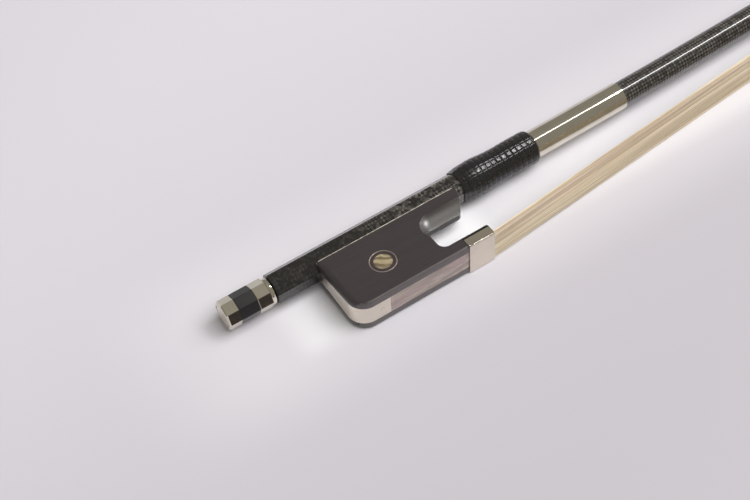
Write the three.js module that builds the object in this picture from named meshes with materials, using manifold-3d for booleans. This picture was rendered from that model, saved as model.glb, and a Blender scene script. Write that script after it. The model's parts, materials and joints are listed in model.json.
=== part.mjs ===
import * as THREE from 'three';
import { mergeVertices } from 'three/addons/utils/BufferGeometryUtils.js';
import Module from 'manifold-3d';

// A cello bow with a carbon stick and an ebony frog, slackened and lying on its side.
// Millimetres. X runs along the handle from the button to the head, Y from the hair to the stick, Z up.
// The pieces are made with the stick's butt at x = 0 and the screw's axis on the X axis.

const wasm = await Module();
wasm.setup();

// Fits
const JOINT_GAP = 0.06;
const SLIDING_GAP = 0.1;
const RUNNING_GAP = 0.25;
const OVERRUN = 1.5;

// Stick
const HANDLE_FLATS = 10.6;
const BUTT_CHAMFER = 0.35;
const STRAIGHT_LENGTH = 60;
const OCTAGON_FADE = 11;
const GRIP_RADIUS = 4.78;
const TIP_RADIUS = 3.6;
const STICK_REACH = 672;
const CAMBER_RISE = 46.8;
const STICK_TAPER_SHARE = 1.7;
const STICK_STEP = 16;
const STICK_SIDES = 24;

// Screw and the bore that it turns in
const SCREW_RADIUS = 1.45;
const SCREW_SHOULDER_STEP = 0.25;
const SCREW_SHOULDER_LENGTH = 18;
const SCREW_THREAD_END = 66;
const SCREW_NOSE_STEP = 0.25;
const SCREW_LENGTH = 80;
const SCREW_POINT_LENGTH = 1.2;
const SCREW_TANG_WIDTH = 2.4;

// Button
const BUTTON_FLATS = 10.1;
const BUTTON_TURN = 19.8;
const COLLAR_LENGTH = 1.85;
const COLLAR_INSET = 0.05;
const COLLAR_ROUNDING = 0.45;
const INNER_RING_LENGTH = 5;
const BARREL_LENGTH = 7.1;
const OUTER_RING_LENGTH = 4.9;
const RING_CHAMFER = 0.45;
const RING_EDGE = 0.15;
const TENON_WALL = 1.25;
const CAP_BORDER = 1.05;
const CAP_THICKNESS = 0.9;
const CAP_RIM = 0.2;

// Frog
const FROG_SETBACK = 16.5;
const FROG_LENGTH = 57.1;
const FROG_DEPTH = 23.45;
const FROG_WRAP = 2.2;
const CHEEK_LIP = 0.23;
const CHEEK_BOTTOM_WIDTH = 14.6;
const HEEL_RADIUS = 6.5;
const EDGE_CHAMFER = 0.85;
const BACK_BEVEL = 2.3;
const BACK_BEVEL_FADE = 4;
const THROAT_LENGTH = 7.9;
const THUMB_DEPTH = 6.3;
const THROAT_TOP_RADIUS = 1.9;
const THROAT_BOTTOM_RADIUS = 3;
const THUMB_NOSE_SETBACK = 4.2;
const THUMB_BROW_SETBACK = 1.7;
const THUMB_BROW_HEIGHT = 2.8;
const THUMB_NOSE_SHARE = 0.55;
const SCOOP_RADIUS = 6;
const SCOOP_LENGTH = 14.7;
const SCOOP_AXIS_DEPTH = 8.4;
const SCOOP_AXIS_SIDE = 6.9;
const ARC_STEPS = 8;
const PIN_SIDES = 16;
const SCOOP_SIDES = 48;

// Underslide, with its hole and screws
const UNDERSLIDE_THICKNESS = 0.6;
const UNDERSLIDE_HOLE_RADIUS = 2.3;
const LINER_SCREW_RADIUS = 0.85;
const LINER_SCREW_HEAD_RADIUS = 1.3;
const LINER_SCREW_LENGTH = 4;
const LINER_SCREW_INSET = 6;

// Eyelet, and the mortise in the handle that it travels in
const EYELET_SETBACK = 28;
const EYELET_LENGTH = 7;
const EYELET_WALL = 0.6;
const EYELET_HEIGHT = 5.4;
const EYELET_SHANK_RADIUS = 1.85;
const EYELET_SHANK_DEPTH = 8;
const TIGHTEN_TRAVEL = 7;
const LOOSEN_TRAVEL = 2.1;
const MORTISE_END_ROOM = 1;

// Heel plate and its pins
const HEEL_PLATE_THICKNESS = 0.8;
const HEEL_PLATE_TOP_WIDTH = 4.7;
const HEEL_PLATE_LENGTH = 13.15;
const HEEL_PIN_RADIUS = 0.65;
const HEEL_PIN_LENGTH = 3.6;
const HEEL_PIN_LOWER_INSET = 3.4;
const HEEL_PIN_REAR_DEPTH = 6;

// Slide of mother of pearl on its backing
const SLIDE_WIDTH = 8.1;
const PEARL_THICKNESS = 0.9;
const BACKING_THICKNESS = 0.8;
const BACKING_TONGUE = 0.45;

// Ferrule
const FERRULE_INSET = 1.4;
const FERRULE_LENGTH = 10.5;
const FERRULE_WIDTH = 14.9;
const FERRULE_HEIGHT = 7;
const FERRULE_THICKNESS = 0.42;
const FERRULE_SIDE_HEIGHT = 3.4;
const TONGUE_SHORTFALL = 1.2;

// Hair, its wedges and its knots
const HAIR_THICKNESS = 1.1;
const HAIR_SIDE_GAP = 0.33;
const HAIR_SPREAD_WIDTH = 16;
const HAIR_LIFT = 0.6;
const HAIR_TIP_MARGIN = 0.6;
const HAIR_MORTISE_MARGIN = 0.3;
const HAIR_STEP = 30;
const WEDGE_THICKNESS = 1.5;
const WEDGE_SETBACK = 1.9;
const FROG_MORTISE_LENGTH = 10;
const FROG_MORTISE_INSET = 0.25;
const FROG_MORTISE_DEPTH = 7.6;
const FROG_MORTISE_WALL = 6.4;
const KNOT_RADIUS = 1.5;

// Inlaid eyes on the cheeks
const EYE_SETBACK = 18.4;
const EYE_DEPTH = 11.1;
const EYE_RING_RADIUS = 4.9;
const EYE_RING_WIDTH = 0.45;
const EYE_BAND = 1.15;
const EYE_INLAY_DEPTH = 1;
const EYE_SIDES = 40;

// Thumb leather
const LEATHER_CLEARANCE = 0.8;
const LEATHER_OVER_OCTAGON = 9.5;
const LEATHER_OVER_SLEEVE = 8.5;
const LEATHER_THICKNESS = 0.95;
const LEATHER_EDGE = 0.3;
const LEATHER_RAMP = 5;
const LEATHER_ROUND = 1.6;

// Metal sleeve past the leather
const SLEEVE_SETBACK = 4;
const SLEEVE_LENGTH = 49.1;
const SLEEVE_THICKNESS = 0.4;
const SLEEVE_ROUND = 0.2;

// Head
const HEAD_HEIGHT = 23.9;
const HEAD_WIDTH = 11.8;
const HEAD_TOP_WIDTH = 6.2;
const HEAD_BACK = 4.2;
const HEAD_LENGTH = 25.4;
const HEAD_TIP_WIDTH = 1.4;
const HEAD_NECK_LENGTH = 22;
const HEAD_PLATE_THICKNESS = 1;
const HEAD_LINER_THICKNESS = 0.5;
const HEAD_MORTISE_START = 2.6;
const HEAD_MORTISE_LENGTH = 7;
const HEAD_MORTISE_WALL = 1.6;
const HEAD_MORTISE_DEPTH = 8;

// Sizes worked out from those above
const handleApothem = HANDLE_FLATS / 2;
const octagonSlope = Math.tan(Math.PI / 8);
const octagonCorner = 1 / Math.cos(Math.PI / 8);
const frogBack = FROG_SETBACK;
const frogFront = frogBack + FROG_LENGTH;
const frogTop = -handleApothem + FROG_WRAP;
const leatherStart = frogFront + LOOSEN_TRAVEL + LEATHER_CLEARANCE;
const octagonLength = leatherStart + LEATHER_OVER_OCTAGON;
const sleeveStart = octagonLength + OCTAGON_FADE + SLEEVE_SETBACK;
const leatherEnd = sleeveStart + LEATHER_OVER_SLEEVE;
const frogBottom = -handleApothem - FROG_DEPTH;
const frogTall = frogTop - frogBottom;
const channelApothem = handleApothem + SLIDING_GAP + UNDERSLIDE_THICKNESS + JOINT_GAP;
const channelHalf = channelApothem * octagonSlope + frogTop + channelApothem;
const cheekTopHalf = channelHalf + CHEEK_LIP;
const cheekSlope = (CHEEK_BOTTOM_WIDTH / 2 - cheekTopHalf) / frogTall;
const ferruleFront = frogFront - FERRULE_INSET;
const ferruleBack = ferruleFront - FERRULE_LENGTH;
const throatBack = ferruleBack - THROAT_LENGTH;
const throatTop = -handleApothem - THUMB_DEPTH;
const ferruleFace = frogBottom - FERRULE_THICKNESS;
const ferruleTop = ferruleFace + FERRULE_HEIGHT;
const plateEnd = frogBack + HEEL_PLATE_LENGTH;
const eyeletX = frogBack + EYELET_SETBACK;
const collarRadius = BUTTON_FLATS / 2 - COLLAR_INSET;
const tenonRadius = BUTTON_FLATS / 2 - TENON_WALL;
const capRadius = BUTTON_FLATS / 2 - CAP_BORDER;
const buttonBack = -RUNNING_GAP - COLLAR_LENGTH - INNER_RING_LENGTH - BARREL_LENGTH - OUTER_RING_LENGTH;
const outerRingFront = buttonBack + OUTER_RING_LENGTH;
const innerRingBack = outerRingFront + BARREL_LENGTH;
const collarBack = innerRingBack + INNER_RING_LENGTH;
const screwShoulder = SCREW_RADIUS + SCREW_SHOULDER_STEP;
const screwNose = SCREW_RADIUS - SCREW_NOSE_STEP;
const eyeletWidth = 2 * (SCREW_RADIUS + EYELET_WALL);
const screwBore = screwShoulder + RUNNING_GAP;
const noseBore = screwNose + RUNNING_GAP;
const frogMortiseWidth = SLIDE_WIDTH - 2 * FROG_MORTISE_INSET;
const headMortiseWidth = HEAD_WIDTH - 2 * HEAD_MORTISE_WALL;
const hairFerruleWidth = FERRULE_WIDTH - 2 * (FERRULE_THICKNESS + HAIR_SIDE_GAP);
const hairFrogWidth = frogMortiseWidth - 2 * HAIR_MORTISE_MARGIN;
const hairTipWidth = HEAD_WIDTH - 2 * HAIR_TIP_MARGIN;
const eyeDotRadius = EYE_RING_RADIUS - EYE_RING_WIDTH - EYE_BAND;
const hairFace = frogBottom + JOINT_GAP;
const hairLevel = hairFace + HAIR_THICKNESS / 2;
const camber = CAMBER_RISE / (STICK_REACH - STRAIGHT_LENGTH) ** 2;
const headDrop = HEAD_HEIGHT - TIP_RADIUS;
const headFootY = CAMBER_RISE - headDrop;
const hairRise = headFootY - HAIR_THICKNESS / 2 - JOINT_GAP - hairLevel;
const hairAngle = Math.atan2(hairRise, STICK_REACH - ferruleFront);

// Geometry helpers
function volumeOf(geometry) {
  const place = geometry.getAttribute('position');
  const index = geometry.getIndex();
  const count = index ? index.count : place.count;
  const corner = [new THREE.Vector3(), new THREE.Vector3(), new THREE.Vector3()];
  let volume = 0;
  for (let i = 0; i < count; i += 3) {
    for (let j = 0; j < 3; j += 1) {
      corner[j].fromBufferAttribute(place, index ? index.getX(i + j) : i + j);
    }
    volume += corner[0].dot(corner[1].cross(corner[2])) / 6;
  }
  return volume;
}

function solid(geometry) {
  const bare = geometry.clone();
  bare.deleteAttribute('normal');
  bare.deleteAttribute('uv');
  const merged = mergeVertices(bare);
  const triVerts = Uint32Array.from(merged.getIndex().array);
  if (volumeOf(merged) < 0) {
    for (let i = 0; i < triVerts.length; i += 3) {
      [triVerts[i + 1], triVerts[i + 2]] = [triVerts[i + 2], triVerts[i + 1]];
    }
  }
  const vertProperties = Float32Array.from(merged.getAttribute('position').array);
  return new wasm.Manifold(new wasm.Mesh({ numProp: 3, vertProperties, triVerts }));
}

function meshGeometry(body) {
  const mesh = body.getMesh();
  const geometry = new THREE.BufferGeometry();
  const places = new Float32Array((mesh.vertProperties.length / mesh.numProp) * 3);
  for (let i = 0; i < places.length / 3; i += 1) {
    for (let j = 0; j < 3; j += 1) places[3 * i + j] = mesh.vertProperties[mesh.numProp * i + j];
  }
  geometry.setAttribute('position', new THREE.BufferAttribute(places, 3));
  geometry.setIndex(new THREE.BufferAttribute(Uint32Array.from(mesh.triVerts), 1));
  const facets = geometry.toNonIndexed();
  facets.computeVertexNormals();
  return facets;
}

function joined(first, ...others) {
  return others.reduce((body, other) => body.add(other), first);
}

function cut(first, ...others) {
  return others.reduce((body, other) => body.subtract(other), first);
}

function block(x0, x1, y0, y1, z0, z1) {
  const geometry = new THREE.BoxGeometry(x1 - x0, y1 - y0, z1 - z0);
  geometry.translate((x0 + x1) / 2, (y0 + y1) / 2, (z0 + z1) / 2);
  return solid(geometry);
}

// A turned piece about the X axis, from [x, radius] pairs that start and end on the axis
function turned(profile, sides) {
  const points = profile.map(([x, radius]) => new THREE.Vector2(radius, x));
  const geometry = new THREE.LatheGeometry(points, sides);
  const basis = new THREE.Matrix4();
  basis.makeBasis(new THREE.Vector3(0, 1, 0), new THREE.Vector3(1, 0, 0), new THREE.Vector3(0, 0, -1));
  geometry.applyMatrix4(basis);
  return solid(geometry);
}

function rod(x0, x1, radius, sides) {
  return turned([[x0, 0], [x0, radius], [x1, radius], [x1, 0]], sides);
}

// A straight rod along any direction
function pin(from, to, radius, sides) {
  const way = new THREE.Vector3().subVectors(to, from);
  const geometry = new THREE.CylinderGeometry(radius, radius, way.length(), sides);
  const upright = new THREE.Vector3(0, 1, 0);
  geometry.applyQuaternion(new THREE.Quaternion().setFromUnitVectors(upright, way.clone().normalize()));
  const middle = new THREE.Vector3().addVectors(from, to).multiplyScalar(1 / 2);
  geometry.translate(middle.x, middle.y, middle.z);
  return solid(geometry);
}

// A section of [y, z] points carried along X
function alongX(section, x0, x1) {
  const shape = new THREE.Shape(section.map(([y, z]) => new THREE.Vector2(y, z)));
  const geometry = new THREE.ExtrudeGeometry(shape, { depth: x1 - x0, bevelEnabled: false });
  const basis = new THREE.Matrix4();
  basis.makeBasis(new THREE.Vector3(0, 1, 0), new THREE.Vector3(0, 0, 1), new THREE.Vector3(1, 0, 0));
  geometry.applyMatrix4(basis);
  geometry.translate(x0, 0, 0);
  return solid(geometry);
}

// An outline of [x, y] points carried along Z, as far each way from the middle plane
function acrossZ(outline, halfWidth) {
  const shape = new THREE.Shape(outline.map(([x, y]) => new THREE.Vector2(x, y)));
  const geometry = new THREE.ExtrudeGeometry(shape, { depth: 2 * halfWidth, bevelEnabled: false });
  geometry.translate(0, 0, -halfWidth);
  return solid(geometry);
}

// Skins a row of rings that all have as many points, and closes both ends
function loft(rings, flatOutline) {
  const count = rings[0].length;
  const places = [];
  const index = [];
  rings.forEach((ring) => ring.forEach((point) => places.push(point.x, point.y, point.z)));
  for (let i = 0; i + 1 < rings.length; i += 1) {
    for (let j = 0; j < count; j += 1) {
      const k = (j + 1) % count;
      const here = i * count;
      const next = here + count;
      index.push(here + j, here + k, next + k, here + j, next + k, next + j);
    }
  }
  const last = (rings.length - 1) * count;
  const flat = flatOutline.map(([u, v]) => new THREE.Vector2(u, v));
  THREE.ShapeUtils.triangulateShape(flat, []).forEach(([a, b, c]) => {
    index.push(a, c, b, last + a, last + b, last + c);
  });
  const geometry = new THREE.BufferGeometry();
  geometry.setAttribute('position', new THREE.Float32BufferAttribute(places, 3));
  geometry.setIndex(index);
  return solid(geometry);
}

function arc(centreX, centreY, radius, from, to, steps) {
  const points = [];
  for (let i = 0; i <= steps; i += 1) {
    const angle = from + ((to - from) * i) / steps;
    points.push([centreX + radius * Math.cos(angle), centreY + radius * Math.sin(angle)]);
  }
  return points;
}

function material(colour, roughness, metalness) {
  return new THREE.MeshStandardMaterial({ color: colour, roughness, metalness });
}

const carbon = material(0x2b2826, 0.25, 0);
const steel = material(0xb9b9b6, 0.35, 1);
const brass = material(0xb08d4a, 0.35, 1);
const nickelSilver = material(0xc9c2b4, 0.18, 1);
const ebony = material(0x2e2826, 0.38, 0);
const pearl = material(0xb9a79b, 0.2, 0);
const leather = material(0x262425, 0.55, 0);
const maple = material(0xc9a877, 0.7, 0);
const boneWhite = material(0xe9e2d2, 0.45, 0);
const horsehair = material(0xd7c8a5, 0.6, 0);
const waxedThread = material(0x7a2f22, 0.8, 0);

const bow = new THREE.Group();

function place(name, body, look) {
  const mesh = new THREE.Mesh(meshGeometry(body), look);
  mesh.name = name;
  bow.add(mesh);
}

// The line of the stick
function stickRise(x) {
  return x > STRAIGHT_LENGTH ? camber * (x - STRAIGHT_LENGTH) ** 2 : 0;
}

function stickRadius(x) {
  const share = Math.max(0, (x - octagonLength) / (STICK_REACH - octagonLength));
  return GRIP_RADIUS - (GRIP_RADIUS - TIP_RADIUS) * share ** STICK_TAPER_SHARE;
}

// Distance from the axis to an octagon's side, in the direction of an angle
function octagonReach(apothem, angle) {
  const side = Math.PI / 4;
  const turn = angle - side * Math.round(angle / side);
  return apothem / Math.cos(turn);
}

// The stick's surface is octagonal as far as the leather and round from there on
function stickReach(x, angle) {
  const share = THREE.MathUtils.clamp((x - octagonLength) / OCTAGON_FADE, 0, 1);
  return THREE.MathUtils.lerp(octagonReach(handleApothem, angle), stickRadius(x), share);
}

function stickRing(x, reachOf, sides) {
  const slope = x > STRAIGHT_LENGTH ? 2 * camber * (x - STRAIGHT_LENGTH) : 0;
  const tilt = Math.atan(slope);
  const points = [];
  for (let i = 0; i < sides; i += 1) {
    const angle = ((i + 1 / 2) / sides) * 2 * Math.PI;
    const reach = reachOf(angle);
    const out = reach * Math.cos(angle);
    const along = x - out * Math.sin(tilt);
    points.push(new THREE.Vector3(along, stickRise(x) + out * Math.cos(tilt), reach * Math.sin(angle)));
  }
  return points;
}

function ringOutline(sides) {
  const angles = Array.from({ length: sides }, (_, i) => (2 * Math.PI * i) / sides);
  return angles.map((angle) => [Math.cos(angle), Math.sin(angle)]);
}

function stations(from, to, step) {
  const count = Math.ceil((to - from) / step);
  return Array.from({ length: count + 1 }, (_, i) => from + ((to - from) * i) / count);
}

// Head, in its own frame: u runs along the hair to the tip, v away from the hair
function headFrame(body) {
  const turn = new THREE.Matrix4().makeRotationZ(hairAngle);
  turn.setPosition(STICK_REACH, headFootY, 0);
  return body.transform(turn.elements);
}

function smoothLine(points, steps) {
  const places = points.map(([u, v]) => new THREE.Vector3(u, v, 0));
  const curve = new THREE.CatmullRomCurve3(places, false, 'centripetal');
  return curve.getPoints(steps).map((point) => [point.x, point.y]);
}

function headBody() {
  const foot = HEAD_PLATE_THICKNESS + HEAD_LINER_THICKNESS + 2 * JOINT_GAP;
  const neckShares = [[-1, 0.63], [-0.62, 0.625], [-0.36, 0.57], [-0.235, 0.44], [-0.2, 0.27]];
  const rear = neckShares.map(([u, v]) => [u * HEAD_NECK_LENGTH, v * HEAD_HEIGHT]);
  const faceShares = [
    [1, 0.075], [0.78, 0.14], [0.58, 0.32], [0.45, 0.58], [0.34, 0.84], [0.2, 0.97], [0.02, 1],
  ];
  const tip = HEAD_LENGTH - HEAD_BACK;
  const front = faceShares.map(([u, v]) => [u * tip, v * HEAD_HEIGHT]);
  const topShare = 0.925;
  const rearLine = smoothLine([...rear, [-HEAD_BACK, foot]], ARC_STEPS * 2);
  const frontLine = smoothLine([...front, [-HEAD_NECK_LENGTH, topShare * HEAD_HEIGHT]], ARC_STEPS * 3);
  const side = acrossZ([...rearLine, [tip, foot], ...frontLine], HEAD_WIDTH);
  const half = HEAD_WIDTH / 2;
  const topHalf = HEAD_TOP_WIDTH / 2;
  const sectionShares = [[0, 1], [0.35, 0.9], [0.62, 0.72]];
  const rightSide = sectionShares.map(([v, w]) => [v * HEAD_HEIGHT, w * half]);
  const shoulderShares = [0.85, 1.15];
  const crestShare = 0.75;
  rightSide.push([shoulderShares[0] * HEAD_HEIGHT, shoulderShares[1] * topHalf]);
  rightSide.push([HEAD_HEIGHT + OVERRUN, crestShare * topHalf]);
  const leftSide = rightSide.map(([v, w]) => [v, -w]).reverse();
  const section = alongX([...rightSide, ...leftSide], -HEAD_NECK_LENGTH - OVERRUN, tip + OVERRUN);
  const rearPlanShares = [[-1, 0.62], [-0.5, 0.64], [-0.3, 0.8], [-0.16, 0.96]];
  const frontPlanShares = [[0.08, 1], [0.34, 0.9], [0.6, 0.62], [0.82, 0.34]];
  const plan = [
    ...rearPlanShares.map(([u, w]) => [u * HEAD_NECK_LENGTH, w * half]),
    ...frontPlanShares.map(([u, w]) => [u * tip, w * half]),
    [tip + JOINT_GAP, HEAD_TIP_WIDTH / 2],
  ];
  const edge = smoothLine(plan, ARC_STEPS * 2);
  const planOutline = [...edge, ...edge.map(([u, w]) => [u, -w]).reverse()];
  const shape = new THREE.Shape(planOutline.map(([u, w]) => new THREE.Vector2(u, -w)));
  const upright = new THREE.ExtrudeGeometry(shape, { depth: HEAD_HEIGHT + OVERRUN, bevelEnabled: false });
  upright.rotateX(-Math.PI / 2);
  const planBody = solid(upright);
  return { body: side.intersect(section).intersect(planBody), planBody, foot, tip };
}

const head = headBody();

function headMortise(extra, depth) {
  const half = headMortiseWidth / 2 - extra;
  const end = HEAD_MORTISE_START + HEAD_MORTISE_LENGTH;
  return block(HEAD_MORTISE_START + extra, end - extra, -OVERRUN, depth, -half, half);
}

function makeStick() {
  const xs = [
    ...stations(BUTT_CHAMFER, octagonLength, octagonLength - BUTT_CHAMFER).slice(0, -1),
    ...stations(STRAIGHT_LENGTH, octagonLength, STICK_STEP),
    ...stations(octagonLength + OCTAGON_FADE, STICK_REACH - HEAD_BACK, STICK_STEP),
  ];
  const rings = xs.map((x) => stickRing(x, (angle) => stickReach(x, angle), STICK_SIDES));
  rings.unshift(stickRing(0, (angle) => octagonReach(handleApothem - BUTT_CHAMFER, angle), STICK_SIDES));
  const shaft = loft(rings, ringOutline(STICK_SIDES));
  const bore = rod(-OVERRUN, SCREW_THREAD_END + OVERRUN, screwBore, STICK_SIDES);
  const nose = rod(0, SCREW_LENGTH + OVERRUN, noseBore, STICK_SIDES);
  const room = EYELET_LENGTH / 2 + MORTISE_END_ROOM;
  const half = eyeletWidth / 2 + SLIDING_GAP;
  const ceiling = EYELET_HEIGHT / 2 + RUNNING_GAP;
  const mortiseEnds = [eyeletX - TIGHTEN_TRAVEL - room, eyeletX + LOOSEN_TRAVEL + room];
  const mortise = block(...mortiseEnds, -HANDLE_FLATS, ceiling, -half, half);
  const tip = headFrame(cut(head.body, headMortise(0, HEAD_MORTISE_DEPTH)));
  place('stick', joined(cut(shaft, bore, nose, mortise), tip), carbon);
}

function makeScrew() {
  const half = SCREW_TANG_WIDTH / 2;
  const tangEnd = buttonBack + CAP_THICKNESS + JOINT_GAP;
  const tang = block(tangEnd, 0, -half, half, -half, half);
  const turnedTang = tang.rotate([BUTTON_TURN, 0, 0]);
  const shoulderBack = collarBack + 2 * JOINT_GAP;
  const pointed = SCREW_LENGTH - SCREW_POINT_LENGTH;
  const shaft = turned([
    [shoulderBack, 0],
    [shoulderBack, screwShoulder],
    [SCREW_SHOULDER_LENGTH, screwShoulder],
    [SCREW_SHOULDER_LENGTH, SCREW_RADIUS],
    [SCREW_THREAD_END, SCREW_RADIUS],
    [SCREW_THREAD_END, screwNose],
    [pointed, screwNose],
    [SCREW_LENGTH, screwNose - SCREW_POINT_LENGTH / 2],
    [SCREW_LENGTH, 0],
  ], STICK_SIDES);
  place('adjusting_screw', joined(turnedTang, shaft), steel);
}

// Octagonal prism about the X axis, turned as the button stands, with both edges bevelled
function buttonPrism(x0, x1, bevelBack, bevelFront) {
  const reach = (BUTTON_FLATS / 2) * octagonCorner;
  const profile = [
    [x0, 0],
    [x0, reach - bevelBack],
    [x0 + bevelBack, reach],
    [x1 - bevelFront, reach],
    [x1, reach - bevelFront],
    [x1, 0],
  ];
  const sides = 8;
  return turned(profile, sides).rotate([BUTTON_TURN + 180 / sides, 0, 0]);
}

function makeButton() {
  const tenonBore = tenonRadius + JOINT_GAP;
  const capBed = buttonBack + CAP_THICKNESS;
  const ring = cut(
    buttonPrism(buttonBack, outerRingFront - JOINT_GAP / 2, RING_CHAMFER, RING_EDGE),
    rod(buttonBack - OVERRUN, capBed + JOINT_GAP, capRadius + JOINT_GAP, STICK_SIDES),
    rod(capBed, outerRingFront, tenonBore, STICK_SIDES),
  );
  place('button_outer_ring', ring, nickelSilver);
  const capRound = capRadius - CAP_RIM;
  const cap = turned([
    [buttonBack, 0],
    [buttonBack, capRound],
    [buttonBack + CAP_RIM, capRadius],
    [capBed, capRadius],
    [capBed, 0],
  ], STICK_SIDES);
  place('button_end_cap', cap, nickelSilver);
  const half = SCREW_TANG_WIDTH / 2 + JOINT_GAP;
  const tangRoom = block(buttonBack, 0, -half, half, -half, half);
  const barrel = joined(
    buttonPrism(outerRingFront + JOINT_GAP / 2, innerRingBack - JOINT_GAP / 2, RING_EDGE, RING_EDGE),
    rod(capBed + 2 * JOINT_GAP, collarBack, tenonRadius, STICK_SIDES),
  );
  place('button_barrel', cut(barrel, tangRoom.rotate([BUTTON_TURN, 0, 0])), ebony);
  const collarEnd = -RUNNING_GAP;
  const collar = turned([
    [collarBack - OVERRUN, 0],
    [collarBack - OVERRUN, collarRadius - COLLAR_ROUNDING],
    [collarBack, collarRadius],
    [collarBack + COLLAR_LENGTH / 2, collarRadius],
    [collarEnd - COLLAR_ROUNDING / 2, collarRadius - COLLAR_ROUNDING / 3],
    [collarEnd, collarRadius - COLLAR_ROUNDING],
    [collarEnd, 0],
  ], STICK_SIDES);
  const innerRing = cut(
    joined(buttonPrism(innerRingBack + JOINT_GAP / 2, collarBack, RING_EDGE, RING_EDGE), collar),
    rod(innerRingBack - OVERRUN, collarBack + JOINT_GAP, tenonBore, STICK_SIDES),
    rod(innerRingBack, OVERRUN, screwBore, STICK_SIDES),
  );
  place('button_inner_ring', innerRing, nickelSilver);
}

// The frog's side outline; one inset draws in its back, the other its underside and its top back corner
function frogOutline(backInset, bottomInset) {
  const centreX = frogBack + HEEL_RADIUS;
  const centreY = frogBottom + HEEL_RADIUS;
  const backRadius = HEEL_RADIUS - backInset;
  const bottomRadius = HEEL_RADIUS - bottomInset;
  const browX = frogFront - THUMB_BROW_SETBACK;
  const browY = throatTop + THUMB_BROW_HEIGHT;
  const noseX = frogFront - THUMB_NOSE_SETBACK;
  const nose = new THREE.QuadraticBezierCurve(
    new THREE.Vector2(noseX, throatTop),
    new THREE.Vector2(THREE.MathUtils.lerp(noseX, browX, THUMB_NOSE_SHARE), throatTop),
    new THREE.Vector2(browX, browY),
  );
  const heel = arc(0, 0, 1, Math.PI, 1.5 * Math.PI, ARC_STEPS);
  return [
    [frogBack + bottomInset, frogTop],
    [frogBack + backInset, frogTop - BACK_BEVEL_FADE],
    ...heel.map(([x, y]) => [centreX + x * backRadius, centreY + y * bottomRadius]),
    [ferruleBack - JOINT_GAP, frogBottom + bottomInset],
    [ferruleBack - JOINT_GAP, throatTop],
    ...nose.getPoints(ARC_STEPS).map((point) => [point.x, point.y]),
    [frogFront, frogTop],
  ];
}

// How wide the bevel is at each point of that outline: broad up the back, narrow at the top and underneath
function bevelAt(index) {
  const share = THREE.MathUtils.clamp((index - 2) / ARC_STEPS, 0, 1);
  return index === 0 ? EDGE_CHAMFER : THREE.MathUtils.lerp(BACK_BEVEL, EDGE_CHAMFER, share);
}

function cheekHalf(y) {
  return cheekTopHalf + cheekSlope * (frogTop - y);
}

// Height of the ferrule's arch over the middle plane, drawn in by an inset
function archSection(inset, floor) {
  const half = FERRULE_WIDTH / 2 - inset;
  const spring = ferruleFace + FERRULE_SIDE_HEIGHT;
  const rise = ferruleTop - inset - spring;
  const points = [[floor, -half]];
  for (let i = 0; i <= 2 * ARC_STEPS; i += 1) {
    const angle = Math.PI * (1 - i / (2 * ARC_STEPS));
    points.push([spring + rise * Math.sin(angle), half * Math.cos(angle)]);
  }
  points.push([floor, half]);
  return points;
}

// The throat's floor follows the ferrule's arch, so it is lower at the cheeks than in the middle
function throatCutter() {
  const reach = CHEEK_BOTTOM_WIDTH / 2 + OVERRUN;
  const half = FERRULE_WIDTH / 2;
  const spring = ferruleFace + FERRULE_SIDE_HEIGHT;
  const rise = ferruleTop - FERRULE_THICKNESS / 2 - spring;
  const ahead = frogFront + OVERRUN;
  const steepestShare = 0.9;
  const quarter = Math.PI / 2;
  const topX = throatBack + THROAT_TOP_RADIUS;
  const topY = throatTop - THROAT_TOP_RADIUS;
  const lowX = throatBack + THROAT_BOTTOM_RADIUS;
  const outlines = [];
  const levels = [];
  for (let i = -ARC_STEPS; i <= ARC_STEPS; i += 1) {
    const share = i / ARC_STEPS;
    const z = half * Math.sin((share * Math.PI) / 2);
    const lean = Math.min(Math.abs(z) / half, steepestShare);
    const floor = spring + rise * Math.sqrt(1 - lean * lean);
    const lowY = floor + THROAT_BOTTOM_RADIUS;
    outlines.push([
      [ahead, throatTop],
      ...arc(topX, topY, THROAT_TOP_RADIUS, quarter, 2 * quarter, ARC_STEPS / 2),
      ...arc(lowX, lowY, THROAT_BOTTOM_RADIUS, 2 * quarter, 3 * quarter, ARC_STEPS),
      [ahead, floor],
    ]);
    levels.push(share === 0 ? 0 : z * (Math.abs(share) === 1 ? reach / half : 1));
  }
  const rings = outlines.map((outline, i) => outline.map(([x, y]) => new THREE.Vector3(x, y, levels[i])));
  return loft(rings, outlines[0]);
}

// Hollows on both cheeks that narrow the thumb projection down to a thin edge over the throat
function thumbScoops() {
  const centreX = frogFront - SCOOP_LENGTH;
  const end = frogFront + OVERRUN;
  const nose = arc(centreX, 0, SCOOP_RADIUS, Math.PI, Math.PI / 2, ARC_STEPS);
  const scoop = turned([...nose, [end, SCOOP_RADIUS], [end, 0]], SCOOP_SIDES);
  const placed = (side) => scoop.translate([0, -handleApothem - SCOOP_AXIS_DEPTH, side * SCOOP_AXIS_SIDE]);
  return [placed(1), placed(-1)];
}

function undersideChannel(apothem, x0, x1) {
  const reach = HANDLE_FLATS;
  const step = apothem * octagonSlope;
  const slant = reach - step;
  return alongX([
    [-apothem, -step],
    [-apothem, step],
    [-apothem + slant, step + slant],
    [-apothem + slant, -step - slant],
  ], x0, x1);
}

// Places a piece made on the +Z axis at the eye, level with the cheek on one side
function onCheek(body, side) {
  const y = -handleApothem - EYE_DEPTH;
  const tilt = -THREE.MathUtils.radToDeg(Math.atan(cheekSlope));
  const leaned = body.rotate([tilt, 0, 0]).translate([frogBack + EYE_SETBACK, y, cheekHalf(y)]);
  return side > 0 ? leaned : leaned.mirror([0, 0, 1]);
}

function disc(radius, z0, z1) {
  const geometry = new THREE.CylinderGeometry(radius, radius, z1 - z0, EYE_SIDES);
  geometry.rotateX(Math.PI / 2);
  geometry.translate(0, 0, (z0 + z1) / 2);
  return solid(geometry);
}

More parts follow.
